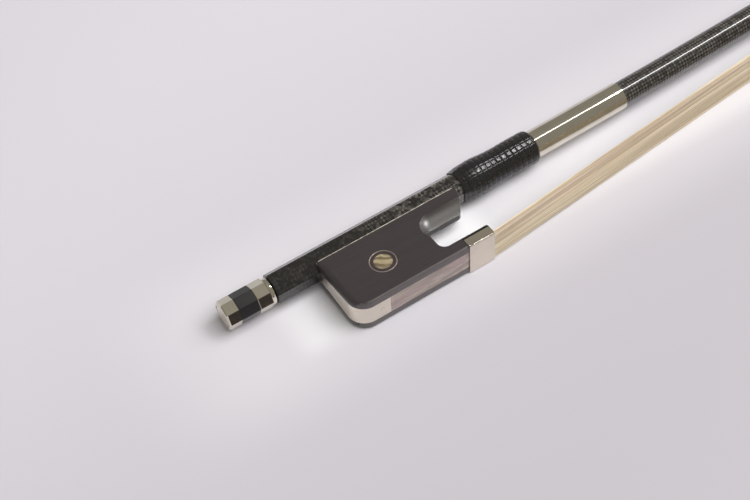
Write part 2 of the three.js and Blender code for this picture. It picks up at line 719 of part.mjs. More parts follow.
function eyeRing(extra, bottom, top) {
  const outer = disc(EYE_RING_RADIUS + extra, bottom, top);
  const inner = disc(EYE_RING_RADIUS - EYE_RING_WIDTH - extra, bottom - OVERRUN, top + OVERRUN);
  return cut(outer, inner);
}

// The heel plate's space: as wide as the slide underneath, and narrower up the back
function heelShell(extra, outside) {
  const wide = SLIDE_WIDTH / 2 + extra;
  const narrow = HEEL_PLATE_TOP_WIDTH / 2 + extra;
  const depth = HEEL_PLATE_THICKNESS + extra;
  const outer = acrossZ(frogOutline(-outside, -outside), wide);
  const inner = acrossZ(frogOutline(depth, depth), wide + OVERRUN);
  const half = [
    [frogTop + outside, narrow],
    [frogBottom + HEEL_RADIUS, wide],
    [frogBottom - OVERRUN, wide],
  ];
  const section = [...half, ...half.map(([y, z]) => [y, -z]).reverse()];
  return cut(outer, inner).intersect(alongX(section, frogBack - OVERRUN, plateEnd + extra));
}

function heelPins(extra) {
  const lowX = plateEnd - HEEL_PIN_LOWER_INSET;
  const rearY = frogTop - HEEL_PIN_REAR_DEPTH;
  const deep = HEEL_PIN_LENGTH + extra;
  const radius = HEEL_PIN_RADIUS + extra;
  const lowFoot = new THREE.Vector3(lowX, frogBottom - extra, 0);
  const rearFoot = new THREE.Vector3(frogBack - extra, rearY, 0);
  return {
    lower: pin(lowFoot, new THREE.Vector3(lowX, frogBottom + deep, 0), radius, PIN_SIDES),
    rear: pin(rearFoot, new THREE.Vector3(frogBack + deep, rearY, 0), radius, PIN_SIDES),
  };
}

function linerScrew(x, extra) {
  const top = -handleApothem - 2 * SLIDING_GAP;
  const headBottom = top - UNDERSLIDE_THICKNESS;
  const point = top - LINER_SCREW_LENGTH;
  const shankEnds = [new THREE.Vector3(x, top, 0), new THREE.Vector3(x, point - extra, 0)];
  const headEnds = [new THREE.Vector3(x, top + extra, 0), new THREE.Vector3(x, headBottom - extra, 0)];
  const shank = pin(...shankEnds, LINER_SCREW_RADIUS + extra, PIN_SIDES);
  return joined(shank, pin(...headEnds, LINER_SCREW_HEAD_RADIUS + extra, PIN_SIDES));
}

const linerScrewPlaces = [frogBack + LINER_SCREW_INSET, frogFront - LINER_SCREW_INSET];

function eyeletShank(extra) {
  const bottom = -handleApothem - EYELET_SHANK_DEPTH - extra;
  const ends = [new THREE.Vector3(eyeletX, 0, 0), new THREE.Vector3(eyeletX, bottom, 0)];
  return pin(...ends, EYELET_SHANK_RADIUS + extra, STICK_SIDES);
}

const backingTop = frogBottom + PEARL_THICKNESS + JOINT_GAP + BACKING_THICKNESS;
const mortiseFront = ferruleBack - FROG_MORTISE_WALL;
const mortiseBack = mortiseFront - FROG_MORTISE_LENGTH;
const mortiseFloor = backingTop + FROG_MORTISE_DEPTH;
const channelTop = backingTop + 2 * JOINT_GAP + HAIR_THICKNESS;
const wedgeBottom = frogBottom + 2 * JOINT_GAP + HAIR_THICKNESS;
const tongueFloor = wedgeBottom + WEDGE_THICKNESS + JOINT_GAP;
const tongueFront = ferruleFront - TONGUE_SHORTFALL;

function makeFrog() {
  const rings = [[-1, 1], [-1, 0], [1, 0], [1, 1]].map(([side, drawnIn]) => {
    const outline = frogOutline(drawnIn * BACK_BEVEL, drawnIn * EDGE_CHAMFER);
    return outline.map(([x, y], i) => {
      const half = cheekHalf(y) - (1 - drawnIn) * bevelAt(i);
      return new THREE.Vector3(x, y, side * half);
    });
  });
  const blank = loft(rings, frogOutline(0, 0));
  const slideHalf = SLIDE_WIDTH / 2 + JOINT_GAP;
  const backingHalf = slideHalf + BACKING_TONGUE;
  const pearlTop = frogBottom + PEARL_THICKNESS;
  const bedTop = backingTop + JOINT_GAP;
  const bedEnd = ferruleBack + OVERRUN;
  const below = frogBottom - OVERRUN;
  const slideBed = joined(
    block(plateEnd, bedEnd, below, bedTop, -slideHalf, slideHalf),
    block(plateEnd, bedEnd, pearlTop, bedTop, -backingHalf, backingHalf),
  );
  const mortiseHalf = frogMortiseWidth / 2;
  const mortise = block(mortiseBack, mortiseFront, below, mortiseFloor, -mortiseHalf, mortiseHalf);
  const channelEnd = ferruleBack + HAIR_THICKNESS;
  const channel = block(mortiseFront - OVERRUN, channelEnd, below, channelTop, -mortiseHalf, mortiseHalf);
  const plateRoom = heelShell(JOINT_GAP, OVERRUN);
  const tongueSection = archSection(FERRULE_THICKNESS + JOINT_GAP, tongueFloor);
  const tongue = alongX(tongueSection, ferruleBack - OVERRUN, tongueFront);
  const pins = heelPins(JOINT_GAP);
  const eyes = [1, -1].flatMap((side) => [
    onCheek(disc(eyeDotRadius + JOINT_GAP, -EYE_INLAY_DEPTH - JOINT_GAP, OVERRUN), side),
    onCheek(eyeRing(JOINT_GAP, -EYE_INLAY_DEPTH - JOINT_GAP, OVERRUN), side),
  ]);
  const shaped = joined(cut(blank, throatCutter(), ...thumbScoops()), tongue);
  const frog = cut(
    shaped,
    slideBed,
    mortise,
    channel,
    plateRoom,
    pins.lower,
    pins.rear,
    undersideChannel(channelApothem, frogBack - OVERRUN, frogFront + OVERRUN),
    eyeletShank(JOINT_GAP),
    ...linerScrewPlaces.map((x) => linerScrew(x, JOINT_GAP)),
    ...eyes,
  );
  place('frog_body', frog, ebony);
}

function makeUnderslide() {
  const inner = handleApothem + SLIDING_GAP;
  const outer = inner + UNDERSLIDE_THICKNESS;
  const half = HANDLE_FLATS;
  const band = block(frogBack, frogFront, -HANDLE_FLATS, frogTop, -half, half);
  const holeEnds = [new THREE.Vector3(eyeletX, 0, 0), new THREE.Vector3(eyeletX, -HANDLE_FLATS, 0)];
  const liner = cut(
    undersideChannel(outer, frogBack, frogFront).intersect(band),
    undersideChannel(inner, frogBack - OVERRUN, frogFront + OVERRUN),
    pin(...holeEnds, UNDERSLIDE_HOLE_RADIUS, STICK_SIDES),
    ...linerScrewPlaces.map((x) => linerScrew(x, JOINT_GAP)),
  );
  place('underslide', liner, nickelSilver);
  place('underslide_screw_rear', linerScrew(linerScrewPlaces[0], 0), steel);
  place('underslide_screw_front', linerScrew(linerScrewPlaces[1], 0), steel);
}

function makeEyelet() {
  const half = eyeletWidth / 2;
  const tall = EYELET_HEIGHT / 2;
  const blank = block(eyeletX - EYELET_LENGTH / 2, eyeletX + EYELET_LENGTH / 2, -tall, tall, -half, half);
  const threadEnds = [eyeletX - EYELET_LENGTH, eyeletX + EYELET_LENGTH];
  const thread = rod(...threadEnds, SCREW_RADIUS + SLIDING_GAP, STICK_SIDES);
  place('eyelet', cut(joined(blank, eyeletShank(0)), thread), brass);
}

function makeHeelPlate() {
  const pins = heelPins(JOINT_GAP);
  const plate = heelShell(0, 0);
  const channel = undersideChannel(channelApothem, frogBack - OVERRUN, frogFront);
  place('heel_plate', cut(plate, pins.lower, pins.rear, channel), nickelSilver);
  place('heel_pin_lower', heelPins(0).lower, nickelSilver);
  place('heel_pin_rear', heelPins(0).rear, nickelSilver);
}

function makeSlide() {
  const start = plateEnd + JOINT_GAP;
  const end = ferruleBack - JOINT_GAP;
  const half = SLIDE_WIDTH / 2;
  const pearlTop = frogBottom + PEARL_THICKNESS;
  place('pearl_slide', block(start, end, frogBottom, pearlTop, -half, half), pearl);
  const wide = half + BACKING_TONGUE;
  place('slide_backing', block(start, end, pearlTop + JOINT_GAP, backingTop, -wide, wide), ebony);
}

function makeFerrule() {
  const shell = alongX(archSection(0, ferruleFace), ferruleBack, ferruleFront);
  const room = archSection(FERRULE_THICKNESS, frogBottom);
  const hollow = alongX(room, ferruleBack - OVERRUN, ferruleFront + OVERRUN);
  place('ferrule', cut(shell, hollow), nickelSilver);
  const half = hairFerruleWidth / 2;
  const start = ferruleBack + WEDGE_SETBACK;
  const end = ferruleFront - RUNNING_GAP;
  const ramp = (end - start) / 3;
  const thin = WEDGE_THICKNESS / 3;
  const top = wedgeBottom + WEDGE_THICKNESS;
  const outline = [
    [start, top - thin],
    [start + ramp, wedgeBottom],
    [end, wedgeBottom],
    [end, top],
    [start, top],
  ];
  place('spread_wedge', acrossZ(outline, half), maple);
}

// Points of the hair where it turns in at a mortise: lengths along the run and into the mortise,
// counted from the mortise's edge in shares of the hair's thickness
const turnShares = [[1.8, -0.56], [-0.23, -0.56], [-0.56, -0.27], [-0.62, 0.36]];

function hairTurn(depth) {
  const rows = turnShares.map(([along, into]) => [along * HAIR_THICKNESS, into * HAIR_THICKNESS]);
  return [...rows, [turnShares[3][0] * HAIR_THICKNESS, depth]];
}

function hairSwell(share) {
  const swellShare = 0.3;
  const full = Math.sin((Math.PI / 2) * Math.min(share / swellShare, 1));
  const wide = THREE.MathUtils.lerp(hairFerruleWidth, HAIR_SPREAD_WIDTH, full);
  return THREE.MathUtils.lerp(wide, hairTipWidth, share ** 2);
}

// The hair's middle line, from the knot in the frog to the knot in the head,
// as [x, y, width, shift to one side]
function hairStations() {
  const frogKnotDepth = mortiseFloor - channelTop - 2 * KNOT_RADIUS - 2 * JOINT_GAP;
  const inFrog = hairTurn(frogKnotDepth).reverse();
  const rows = inFrog.map(([along, into]) => [mortiseFront + along, channelTop + into, hairFrogWidth]);
  const channelLevel = rows[rows.length - 1][1];
  const slope = hairLevel - channelLevel;
  rows.push(
    [ferruleBack + HAIR_THICKNESS / 5, channelLevel, hairFrogWidth],
    [ferruleBack + HAIR_THICKNESS / 5 - slope, hairLevel, (hairFrogWidth + hairFerruleWidth) / 2],
    [ferruleBack - 2 * slope, hairLevel, hairFerruleWidth],
  );
  stations(ferruleFront, STICK_REACH, HAIR_STEP).forEach((x) => {
    const share = (x - ferruleFront) / (STICK_REACH - ferruleFront);
    const lift = HAIR_LIFT * Math.sin(Math.PI * share);
    rows.push([x, hairLevel + hairRise * share, hairSwell(share), lift]);
  });
  const cos = Math.cos(hairAngle);
  const sin = Math.sin(hairAngle);
  const mortiseRoom = headMortiseWidth - 2 * JOINT_GAP;
  hairTurn(HEAD_MORTISE_DEPTH - 2 * KNOT_RADIUS - 2 * JOINT_GAP).forEach(([along, into]) => {
    const u = HEAD_MORTISE_START - along;
    const width = along > 0 ? hairTipWidth : mortiseRoom;
    rows.push([STICK_REACH + u * cos - into * sin, headFootY + u * sin + into * cos, width]);
  });
  return rows;
}

function makeHair() {
  const rows = hairStations();
  const half = HAIR_THICKNESS / 2;
  const edge = half / 2;
  const section = (width) => [
    [half, -width / 2 + edge],
    [half, 0],
    [half, width / 2 - edge],
    [0, width / 2],
    [-half, width / 2 - edge],
    [-half, 0],
    [-half, -width / 2 + edge],
    [0, -width / 2],
  ];
  const rings = rows.map(([x, y, width, lift = 0], i) => {
    const before = rows[Math.max(i - 1, 0)];
    const after = rows[Math.min(i + 1, rows.length - 1)];
    const angle = Math.atan2(after[1] - before[1], after[0] - before[0]);
    const sin = Math.sin(angle);
    const cos = Math.cos(angle);
    return section(width).map(([out, z]) => new THREE.Vector3(x - out * sin, y + out * cos, z + lift));
  });
  place('hair_ribbon', loft(rings, section(hairFerruleWidth)), horsehair);
}

function crossPin(x, y, radius, halfWidth) {
  return pin(new THREE.Vector3(x, y, -halfWidth), new THREE.Vector3(x, y, halfWidth), radius, STICK_SIDES);
}

function makeFrogHairFixings() {
  const hairBack = mortiseFront + (turnShares[3][0] - 1 / 2) * HAIR_THICKNESS;
  const knotHalf = frogMortiseWidth / 2 - JOINT_GAP;
  const knotY = mortiseFloor - KNOT_RADIUS - JOINT_GAP;
  place('frog_hair_knot', crossPin(hairBack - KNOT_RADIUS / 2, knotY, KNOT_RADIUS, knotHalf), waxedThread);
  const top = mortiseFloor - 2 * KNOT_RADIUS - 2 * JOINT_GAP;
  const ends = [mortiseBack + JOINT_GAP, hairBack - JOINT_GAP];
  place('frog_hair_plug', block(...ends, backingTop + JOINT_GAP, top, -knotHalf, knotHalf), maple);
}

function makeEyes() {
  [['upper', 1], ['lower', -1]].forEach(([word, side]) => {
    place(`eye_dot_${word}`, onCheek(disc(eyeDotRadius, -EYE_INLAY_DEPTH, 0), side), pearl);
    place(`eye_ring_${word}`, onCheek(eyeRing(0, -EYE_INLAY_DEPTH, 0), side), nickelSilver);
  });
}

const sleeveInner = GRIP_RADIUS + JOINT_GAP;
const sleeveOuter = sleeveInner + SLEEVE_THICKNESS;

function sweptAlongStick(xs, reachOf) {
  const rings = xs.map((x) => stickRing(x, (angle) => reachOf(x, angle), STICK_SIDES));
  return loft(rings, ringOutline(STICK_SIDES));
}

function makeSleeve() {
  const end = sleeveStart + SLEEVE_LENGTH;
  const xs = [sleeveStart, ...stations(sleeveStart + SLEEVE_ROUND, end - SLEEVE_ROUND, STICK_STEP), end];
  const edge = [sleeveStart, end];
  const outer = sweptAlongStick(xs, (x) => (edge.includes(x) ? sleeveOuter - SLEEVE_ROUND : sleeveOuter));
  const bore = stations(sleeveStart - OVERRUN, end + OVERRUN, STICK_STEP);
  place('grip_sleeve', cut(outer, sweptAlongStick(bore, () => sleeveInner)), nickelSilver);
}

function makeLeather() {
  const bed = (x, angle) => {
    const metal = x > sleeveStart - LEATHER_RAMP / 2 ? sleeveOuter + JOINT_GAP : 0;
    return Math.max(stickReach(x, angle), metal) + 2 * JOINT_GAP;
  };
  const thickness = (x) => {
    const ramp = Math.min((x - leatherStart) / LEATHER_RAMP, 1);
    const rise = THREE.MathUtils.lerp(LEATHER_EDGE, LEATHER_THICKNESS, Math.sin((ramp * Math.PI) / 2));
    const fall = Math.max(0, (x - leatherEnd + LEATHER_ROUND) / LEATHER_ROUND);
    return Math.max(LEATHER_EDGE, rise * Math.sqrt(1 - Math.min(fall, 1) ** 2));
  };
  const roundReach = handleApothem * octagonCorner;
  const soft = (x, angle) => {
    const share = THREE.MathUtils.clamp((x - octagonLength) / OCTAGON_FADE, 0, 1);
    return THREE.MathUtils.lerp((bed(x, angle) + roundReach) / 2, bed(x, angle), share);
  };
  const xs = [
    ...stations(leatherStart, leatherStart + LEATHER_RAMP, LEATHER_RAMP / 4),
    ...stations(leatherStart + LEATHER_RAMP, octagonLength, LEATHER_RAMP).slice(1),
    ...stations(octagonLength, octagonLength + OCTAGON_FADE, LEATHER_RAMP).slice(1),
    ...stations(octagonLength + OCTAGON_FADE, leatherEnd - LEATHER_ROUND, LEATHER_RAMP).slice(1),
    ...stations(leatherEnd - LEATHER_ROUND, leatherEnd, LEATHER_ROUND / 4).slice(1),
  ];
  const outer = sweptAlongStick(xs, (x, angle) => soft(x, angle) + thickness(x));
  const inner = sweptAlongStick([leatherStart - OVERRUN, ...xs, leatherEnd + OVERRUN], bed);
  place('thumb_leather', cut(outer, inner), leather);
}

function makeHeadFixings() {
  const slab = (v0, v1) => block(-HEAD_BACK, head.tip + OVERRUN, v0, v1, -HEAD_WIDTH, HEAD_WIDTH);
  const opening = headMortise(0, HEAD_MORTISE_DEPTH);
  const plate = cut(head.planBody.intersect(slab(0, HEAD_PLATE_THICKNESS)), opening);
  place('head_plate', headFrame(plate), boneWhite);
  const linerFoot = HEAD_PLATE_THICKNESS + JOINT_GAP;
  const liner = cut(head.planBody.intersect(slab(linerFoot, linerFoot + HEAD_LINER_THICKNESS)), opening);
  place('head_plate_liner', headFrame(liner), ebony);
  const half = headMortiseWidth / 2 - JOINT_GAP;
  const hairFront = HEAD_MORTISE_START + (1 / 2 - turnShares[3][0]) * HAIR_THICKNESS;
  const end = HEAD_MORTISE_START + HEAD_MORTISE_LENGTH;
  const plugTop = HEAD_MORTISE_DEPTH - 2 * KNOT_RADIUS - 3 * JOINT_GAP;
  const plug = block(hairFront + JOINT_GAP, end - JOINT_GAP, 0, plugTop, -half, half);
  place('head_hair_plug', headFrame(plug), maple);
  const knotV = HEAD_MORTISE_DEPTH - KNOT_RADIUS - JOINT_GAP;
  const knot = crossPin(hairFront + KNOT_RADIUS / 2, knotV, KNOT_RADIUS, half);
  place('head_hair_knot', headFrame(knot), waxedThread);
}

makeStick();
makeScrew();
makeButton();
makeFrog();
makeUnderslide();
makeEyelet();
makeHeelPlate();
makeSlide();
makeFerrule();
makeFrogHairFixings();
makeEyes();
makeLeather();
makeSleeve();
makeHeadFixings();
makeHair();

// The origin is below the middle of the whole bow, on the surface that it lies on
const bounds = new THREE.Box3().setFromObject(bow);
const middle = bounds.getCenter(new THREE.Vector3());
bow.position.set(-middle.x, -middle.y, -bounds.min.z);

export default bow;
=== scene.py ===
# %% [markdown]
# A cello bow with a carbon stick, dressed for the camera
#
# The bow lies on its side on a pale table, with the frog end nearest the camera. Its measured solids come
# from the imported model, and this lesson gives them their finished shapes and surfaces. The solids set every
# size, so the first step loads them and keeps the box that they fill.

import json
import math

import bpy
import numpy
from mathutils import Matrix, Vector


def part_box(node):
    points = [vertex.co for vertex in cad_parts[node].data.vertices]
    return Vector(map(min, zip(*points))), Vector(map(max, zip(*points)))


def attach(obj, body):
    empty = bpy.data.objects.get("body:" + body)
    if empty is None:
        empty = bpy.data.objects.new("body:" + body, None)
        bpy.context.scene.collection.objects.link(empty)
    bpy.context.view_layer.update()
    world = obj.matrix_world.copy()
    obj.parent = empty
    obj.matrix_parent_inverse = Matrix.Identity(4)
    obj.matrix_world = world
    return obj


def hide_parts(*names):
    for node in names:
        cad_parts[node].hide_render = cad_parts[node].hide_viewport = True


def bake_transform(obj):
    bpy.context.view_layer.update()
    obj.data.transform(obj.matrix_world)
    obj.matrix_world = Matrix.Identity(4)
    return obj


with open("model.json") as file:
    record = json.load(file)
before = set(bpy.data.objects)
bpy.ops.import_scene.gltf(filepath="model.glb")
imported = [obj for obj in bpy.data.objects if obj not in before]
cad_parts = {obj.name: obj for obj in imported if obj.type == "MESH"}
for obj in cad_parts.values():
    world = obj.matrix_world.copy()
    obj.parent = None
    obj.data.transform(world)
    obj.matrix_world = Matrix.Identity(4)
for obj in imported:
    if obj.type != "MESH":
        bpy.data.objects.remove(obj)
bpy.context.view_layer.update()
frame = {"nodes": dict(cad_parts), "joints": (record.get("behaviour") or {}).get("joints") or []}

# %% [markdown]
# Lengths below are in millimetres, counted as a bow maker would: x from the butt of the stick along the
# handle to the head, y from the hair towards the stick, z up from the table. The turning button's own joint
# tells where the butt is, so a point in these millimetres turns into metres in the model's frame.

# %% Place points by the butt of the stick
MM = 0.001
BUTT = numpy.array(frame["joints"][0]["pos_m"])


def at(x, y, z):
    return Vector(BUTT + numpy.array((x, y, z)) * MM)


FERRULE_HIGH = (numpy.array(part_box("ferrule")[1]) - BUTT) / MM
print("the ferrule's highest corner is", FERRULE_HIGH.round(2))

# %% [markdown]
# Every long piece of a bow is a skin stretched over a row of cross sections. By hand this is a grid
# primitive whose vertices are moved onto the sections, one row a section, and then closed: the first and
# last columns are merged, and the open ends are filled. One helper does that for all of them. A ring such as
# a ferrule is the same grid with its last row laid on its first.

# %% Skin a row of sections with a grid
SAME_POINT = 1e-7


def deselect():
    if bpy.context.object and bpy.context.object.mode == "EDIT":
        bpy.ops.object.mode_set(mode="OBJECT")
    bpy.ops.object.select_all(action="DESELECT")


def take(piece):
    deselect()
    piece.select_set(True)
    bpy.context.view_layer.objects.active = piece


def close_up(piece):
    take(piece)
    bpy.ops.object.mode_set(mode="EDIT")
    bpy.ops.mesh.select_all(action="SELECT")
    bpy.ops.mesh.remove_doubles(threshold=SAME_POINT)
    bpy.ops.mesh.select_all(action="SELECT")
    bpy.ops.mesh.fill_holes(sides=0)
    bpy.ops.mesh.select_all(action="SELECT")
    bpy.ops.mesh.normals_make_consistent(inside=False)
    bpy.ops.object.mode_set(mode="OBJECT")


def skin(name, rings, ring_shaped=False):
    rows = [list(ring) + [ring[0]] for ring in rings]
    if ring_shaped:
        rows.append(rows[0])
    deselect()
    bpy.ops.mesh.primitive_grid_add(x_subdivisions=len(rows[0]) - 1, y_subdivisions=len(rows) - 1, size=1)
    piece = bpy.context.object
    piece.name = name
    places = numpy.array(rows, float).reshape(-1, 3) * MM + BUTT
    piece.data.vertices.foreach_set("co", places.ravel())
    piece.data.update()
    close_up(piece)
    return piece


def add_modifier(piece, kind, **settings):
    take(piece)
    modifier = piece.modifiers.new(kind.title(), kind)
    for setting, value in settings.items():
        setattr(modifier, setting, value)
    bpy.ops.object.modifier_apply(modifier=modifier.name)


def carve(piece, *cutters, operation="DIFFERENCE"):
    for cutter in cutters:
        add_modifier(piece, "BOOLEAN", object=cutter, operation=operation, solver="EXACT")
        bpy.data.objects.remove(cutter)


def smooth(piece, degrees):
    take(piece)
    bpy.ops.object.shade_smooth_by_angle(angle=math.radians(degrees))


def shade_evenly(piece, degrees):
    smooth(piece, degrees)
    add_modifier(piece, "WEIGHTED_NORMAL", keep_sharp=True, weight=100)


def soften(piece, width, degrees=28):
    add_modifier(
        piece,
        "BEVEL",
        width=width * MM,
        segments=2,
        limit_method="ANGLE",
        angle_limit=math.radians(degrees),
        use_clamp_overlap=True,
        harden_normals=False,
        miter_outer="MITER_ARC",
    )
    shade_evenly(piece, degrees)


# %% [markdown]
# Most cutters and pins are boxes, rods and prisms. They are ordinary primitives, set at their size and place.
# Two small sums come back often: how far a value has come from one limit to another, and the same share
# eased, so that it starts and ends gently.

# %% Box, rod and prism cutters


def box(name, x0, x1, y0, y1, z0, z1):
    deselect()
    bpy.ops.mesh.primitive_cube_add(size=1, location=at((x0 + x1) / 2, (y0 + y1) / 2, (z0 + z1) / 2))
    piece = bpy.context.object
    piece.name = name
    piece.scale = ((x1 - x0) * MM, (y1 - y0) * MM, (z1 - z0) * MM)
    bpy.ops.object.transform_apply(location=True, rotation=True, scale=True)
    return piece


def rod(name, start, end, radius, sides=48):
    way = Vector(end) - Vector(start)
    middle = (Vector(end) + Vector(start)) / 2
    deselect()
    bpy.ops.mesh.primitive_cylinder_add(
        vertices=sides,
        radius=radius * MM,
        depth=way.length * MM,
        location=at(*middle),
        rotation=way.to_track_quat("Z", "Y").to_euler(),
    )
    piece = bpy.context.object
    piece.name = name
    bpy.ops.object.transform_apply(location=True, rotation=True, scale=True)
    return piece


def along_handle(section, stations):
    return [[(x, y, z) for y, z in section] for x in stations]


def share_of(value, low, high):
    return min(1.0, max(0.0, (value - low) / (high - low)))


def ease(share):
    return share * share * (3 - 2 * share)


# %% [markdown]
# Surfaces are drawn with shader nodes. Long sums of noise and stripes are easier to read as sums, so a socket
# is wrapped in a small class that adds a Math node for each sign: mask * 0.3 + grain is two nodes.

# %% Write shader maths as sums


class Amount:
    def __init__(self, sheet, socket):
        self.sheet = sheet
        self.socket = socket

    def maths(self, operation, *values):
        made = self.sheet.node("ShaderNodeMath", {"operation": operation}, dict(enumerate(values)))
        return Amount(self.sheet, made.outputs[0])

    def __add__(self, other):
        return self.maths("ADD", self, other)

    __radd__ = __add__

    def __sub__(self, other):
        return self.maths("SUBTRACT", self, other)

    def __rsub__(self, other):
        return self.maths("SUBTRACT", other, self)

    def __mul__(self, other):
        return self.maths("MULTIPLY", self, other)

    __rmul__ = __mul__

    def __truediv__(self, other):
        return self.maths("DIVIDE", self, other)

    def __pow__(self, other):
        return self.maths("POWER", self, other)

    def one(self, operation):
        return self.maths(operation, self)

    def over(self, limit):
        return self.maths("GREATER_THAN", self, limit)

    def ramp(self, low, high, to_low=0.0, to_high=1.0):
        sockets = {"Value": self, "From Min": low, "From Max": high, "To Min": to_low, "To Max": to_high}
        made = self.sheet.node("ShaderNodeMapRange", {"interpolation_type": "SMOOTHSTEP"}, sockets)
        return Amount(self.sheet, made.outputs[0])


SOCKETS = {
    "colour": "Base Color",
    "rough": "Roughness",
    "metal": "Metallic",
    "normal": "Normal",
    "coat": "Coat Weight",
    "coat_rough": "Coat Roughness",
    "coat_ior": "Coat IOR",
    "ior": "IOR",
    "specular": "Specular IOR Level",
    "sheen": "Sheen Weight",
    "glow": "Emission Color",
    "glow_level": "Emission Strength",
}


class Sheet:
    def __init__(self, name, tree=None):
        self.tree = tree
        if tree is None:
            self.material = bpy.data.materials.new(name)
            self.material.use_nodes = True
            self.tree = self.material.node_tree
            self.shader = self.tree.nodes["Principled BSDF"]

    def node(self, kind, settings=None, sockets=None):
        made = self.tree.nodes.new(kind)
        for setting, value in (settings or {}).items():
            setattr(made, setting, value)
        for key, value in (sockets or {}).items():
            self.join(made.inputs[key], value)
        return made

    def join(self, socket, value):
        if isinstance(value, Amount):
            value = value.socket
        if isinstance(value, bpy.types.NodeSocket):
            self.tree.links.new(value, socket)
        elif value is not None:
            socket.default_value = value

    def place(self):
        spot = self.node("ShaderNodeTexCoord").outputs["Object"]
        split = self.node("ShaderNodeSeparateXYZ", None, {0: spot})
        return [(Amount(self, way) - float(shift)) * (1 / MM) for way, shift in zip(split.outputs, BUTT)]

    def point(self, x, y, z):
        return self.node("ShaderNodeCombineXYZ", None, {0: x, 1: y, 2: z}).outputs[0]

    def noise(self, point, scale, detail=4.0, rough=0.55, warp=0.0):
        sockets = {"Vector": point, "Scale": scale, "Detail": detail, "Roughness": rough, "Distortion": warp}
        made = self.node("ShaderNodeTexNoise", {"normalize": True}, sockets)
        return Amount(self, made.outputs[0])

    def blend(self, share, first, second):
        made = self.node("ShaderNodeMix", {"data_type": "RGBA"}, {0: share, 6: first, 7: second})
        return made.outputs[2]

    def bump(self, height, depth, strength=1.0):
        sockets = {"Height": height, "Distance": depth * MM, "Strength": strength}
        return self.node("ShaderNodeBump", None, sockets).outputs[0]

    def finish(self, **sockets):
        for key, value in sockets.items():
            self.join(self.shader.inputs[SOCKETS[key]], value)
        return self.material


def colour(red, green, blue):
    shades = [part / 255 for part in (red, green, blue)]
    linear = [part / 12.92 if part <= 0.04045 else ((part + 0.055) / 1.055) ** 2.4 for part in shades]
    return (*linear, 1.0)


def dress(piece, material, body, slot, *nodes):
    piece.data.materials.clear()
    piece.data.materials.append(material)
    if body:
        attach(piece, body)
    if nodes:
        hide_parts(*nodes)
    print(piece.name, "has", len(piece.data.polygons), "faces")


# %% [markdown]
# Nickel silver is a pale, faintly warm alloy of copper, nickel and zinc. It is polished with a fine buff,
# which leaves hairlines along the piece, and it dulls a little where hands don't reach. The hairlines are
# noise stretched along x, and the dulling is a broad soft noise. Both only shift the tint and the polish by a
# few parts in a hundred, because a true mirror of the room has to stay straight on the round sleeve. The same
# recipe gives four finishes: the mirror of the sleeve and button, the softer buff of the plates, the satin of
# the thin rings round the eyes, and a much darker tone for the arch of the ferrule.

# %% Nickel silver


def nickel_silver(name, tone, roughness, hairlines):
    sheet = Sheet(name)
    x, y, z = sheet.place()
    brushed = sheet.noise(sheet.point(x * 0.12, y * 5, z * 5), 1.0, 3.0, 0.6)
    clouds = sheet.noise(sheet.point(x, y, z), 0.16, 3.0, 0.55)
    specks = sheet.noise(sheet.point(x, y, z), 2.6, 2.0, 0.5)
    dull = clouds.ramp(0.42, 0.72)
    bright = colour(*tone)
    worn = colour(*(part * 0.93 for part in tone))
    tint = sheet.blend(dull * 0.5 + brushed * 0.5, bright, worn)
    rough = dull * 0.03 + specks * 0.02 + roughness
    return sheet.finish(colour=tint, rough=rough, metal=1.0, normal=sheet.bump(brushed, hairlines))


silver = nickel_silver("nickel_silver_polished", (226, 220, 206), 0.06, 0.0004)
silver_plate = nickel_silver("nickel_silver_plate", (229, 220, 206), 0.16, 0.002)
silver_satin = nickel_silver("nickel_silver_satin", (206, 190, 184), 0.42, 0.002)
silver_dark = nickel_silver("nickel_silver_dark", (74, 67, 60), 0.2, 0.002)
print("nickel silver is ready in four finishes")

# %% [markdown]
# Ebony is a nearly black wood with fine straight pores. It is sanded very fine and oiled, so its flats have a
# low sheen. Its lower edges are painted paler, a painted reflection of the light those bevels catch. The
# grain runs along the bow, so noise is stretched along x, and short dark pores are cut from a second, finer
# noise. The hollows over the throat are hard to reach with paper and are burnished instead, so their ebony
# has a full coat, soft and strong, and its tone is painted paler too, a painted sheen.

# %% Ebony


def ebony(name, tone, roughness, coat=0.25, coat_rough=0.22, coat_ior=1.5):
    sheet = Sheet(name)
    x, y, z = sheet.place()
    grain = sheet.noise(sheet.point(x * 0.06, y * 1.3, z * 1.3), 1.0, 5.0, 0.6)
    pores = sheet.noise(sheet.point(x * 0.45, y * 7, z * 7), 1.0, 2.0, 0.5).ramp(0.62, 0.7)
    clouds = sheet.noise(sheet.point(x, y, z), 0.09, 2.0, 0.5)
    pale = colour(*(part * 1.07 for part in tone))
    dark = colour(*(part * 0.93 for part in tone))
    wood = sheet.blend(grain.ramp(0.3, 0.7) * 0.6 + clouds * 0.4, dark, pale)
    wood = sheet.blend(pores * 0.15, wood, colour(22, 19, 19))
    height = grain * 0.4 - pores
    return sheet.finish(
        colour=wood,
        rough=roughness + grain * 0.1 + pores * 0.15,
        normal=sheet.bump(height, 0.006, 0.5),
        coat=coat,
        coat_rough=coat_rough,
        coat_ior=coat_ior,
        ior=1.5,
    )


ebony_wood = ebony("ebony_oiled", (56, 50, 52), 0.34)
# painted reflection: the underside bevels are painted paler than the oiled ebony
ebony_painted_pale = ebony("ebony_painted_light_edge", (88, 82, 82), 0.34)
ebony_black = ebony("ebony_black", (26, 25, 25), 0.26)
# painted sheen: the hollows get a full coat and also a paler tone than the oiled ebony
ebony_scoop_painted_sheen = ebony("ebony_polished_scoop_painted_sheen", (70, 65, 62), 0.36, coat=1.0, coat_rough=0.45, coat_ior=1.7)
print("ebony is ready in four finishes")
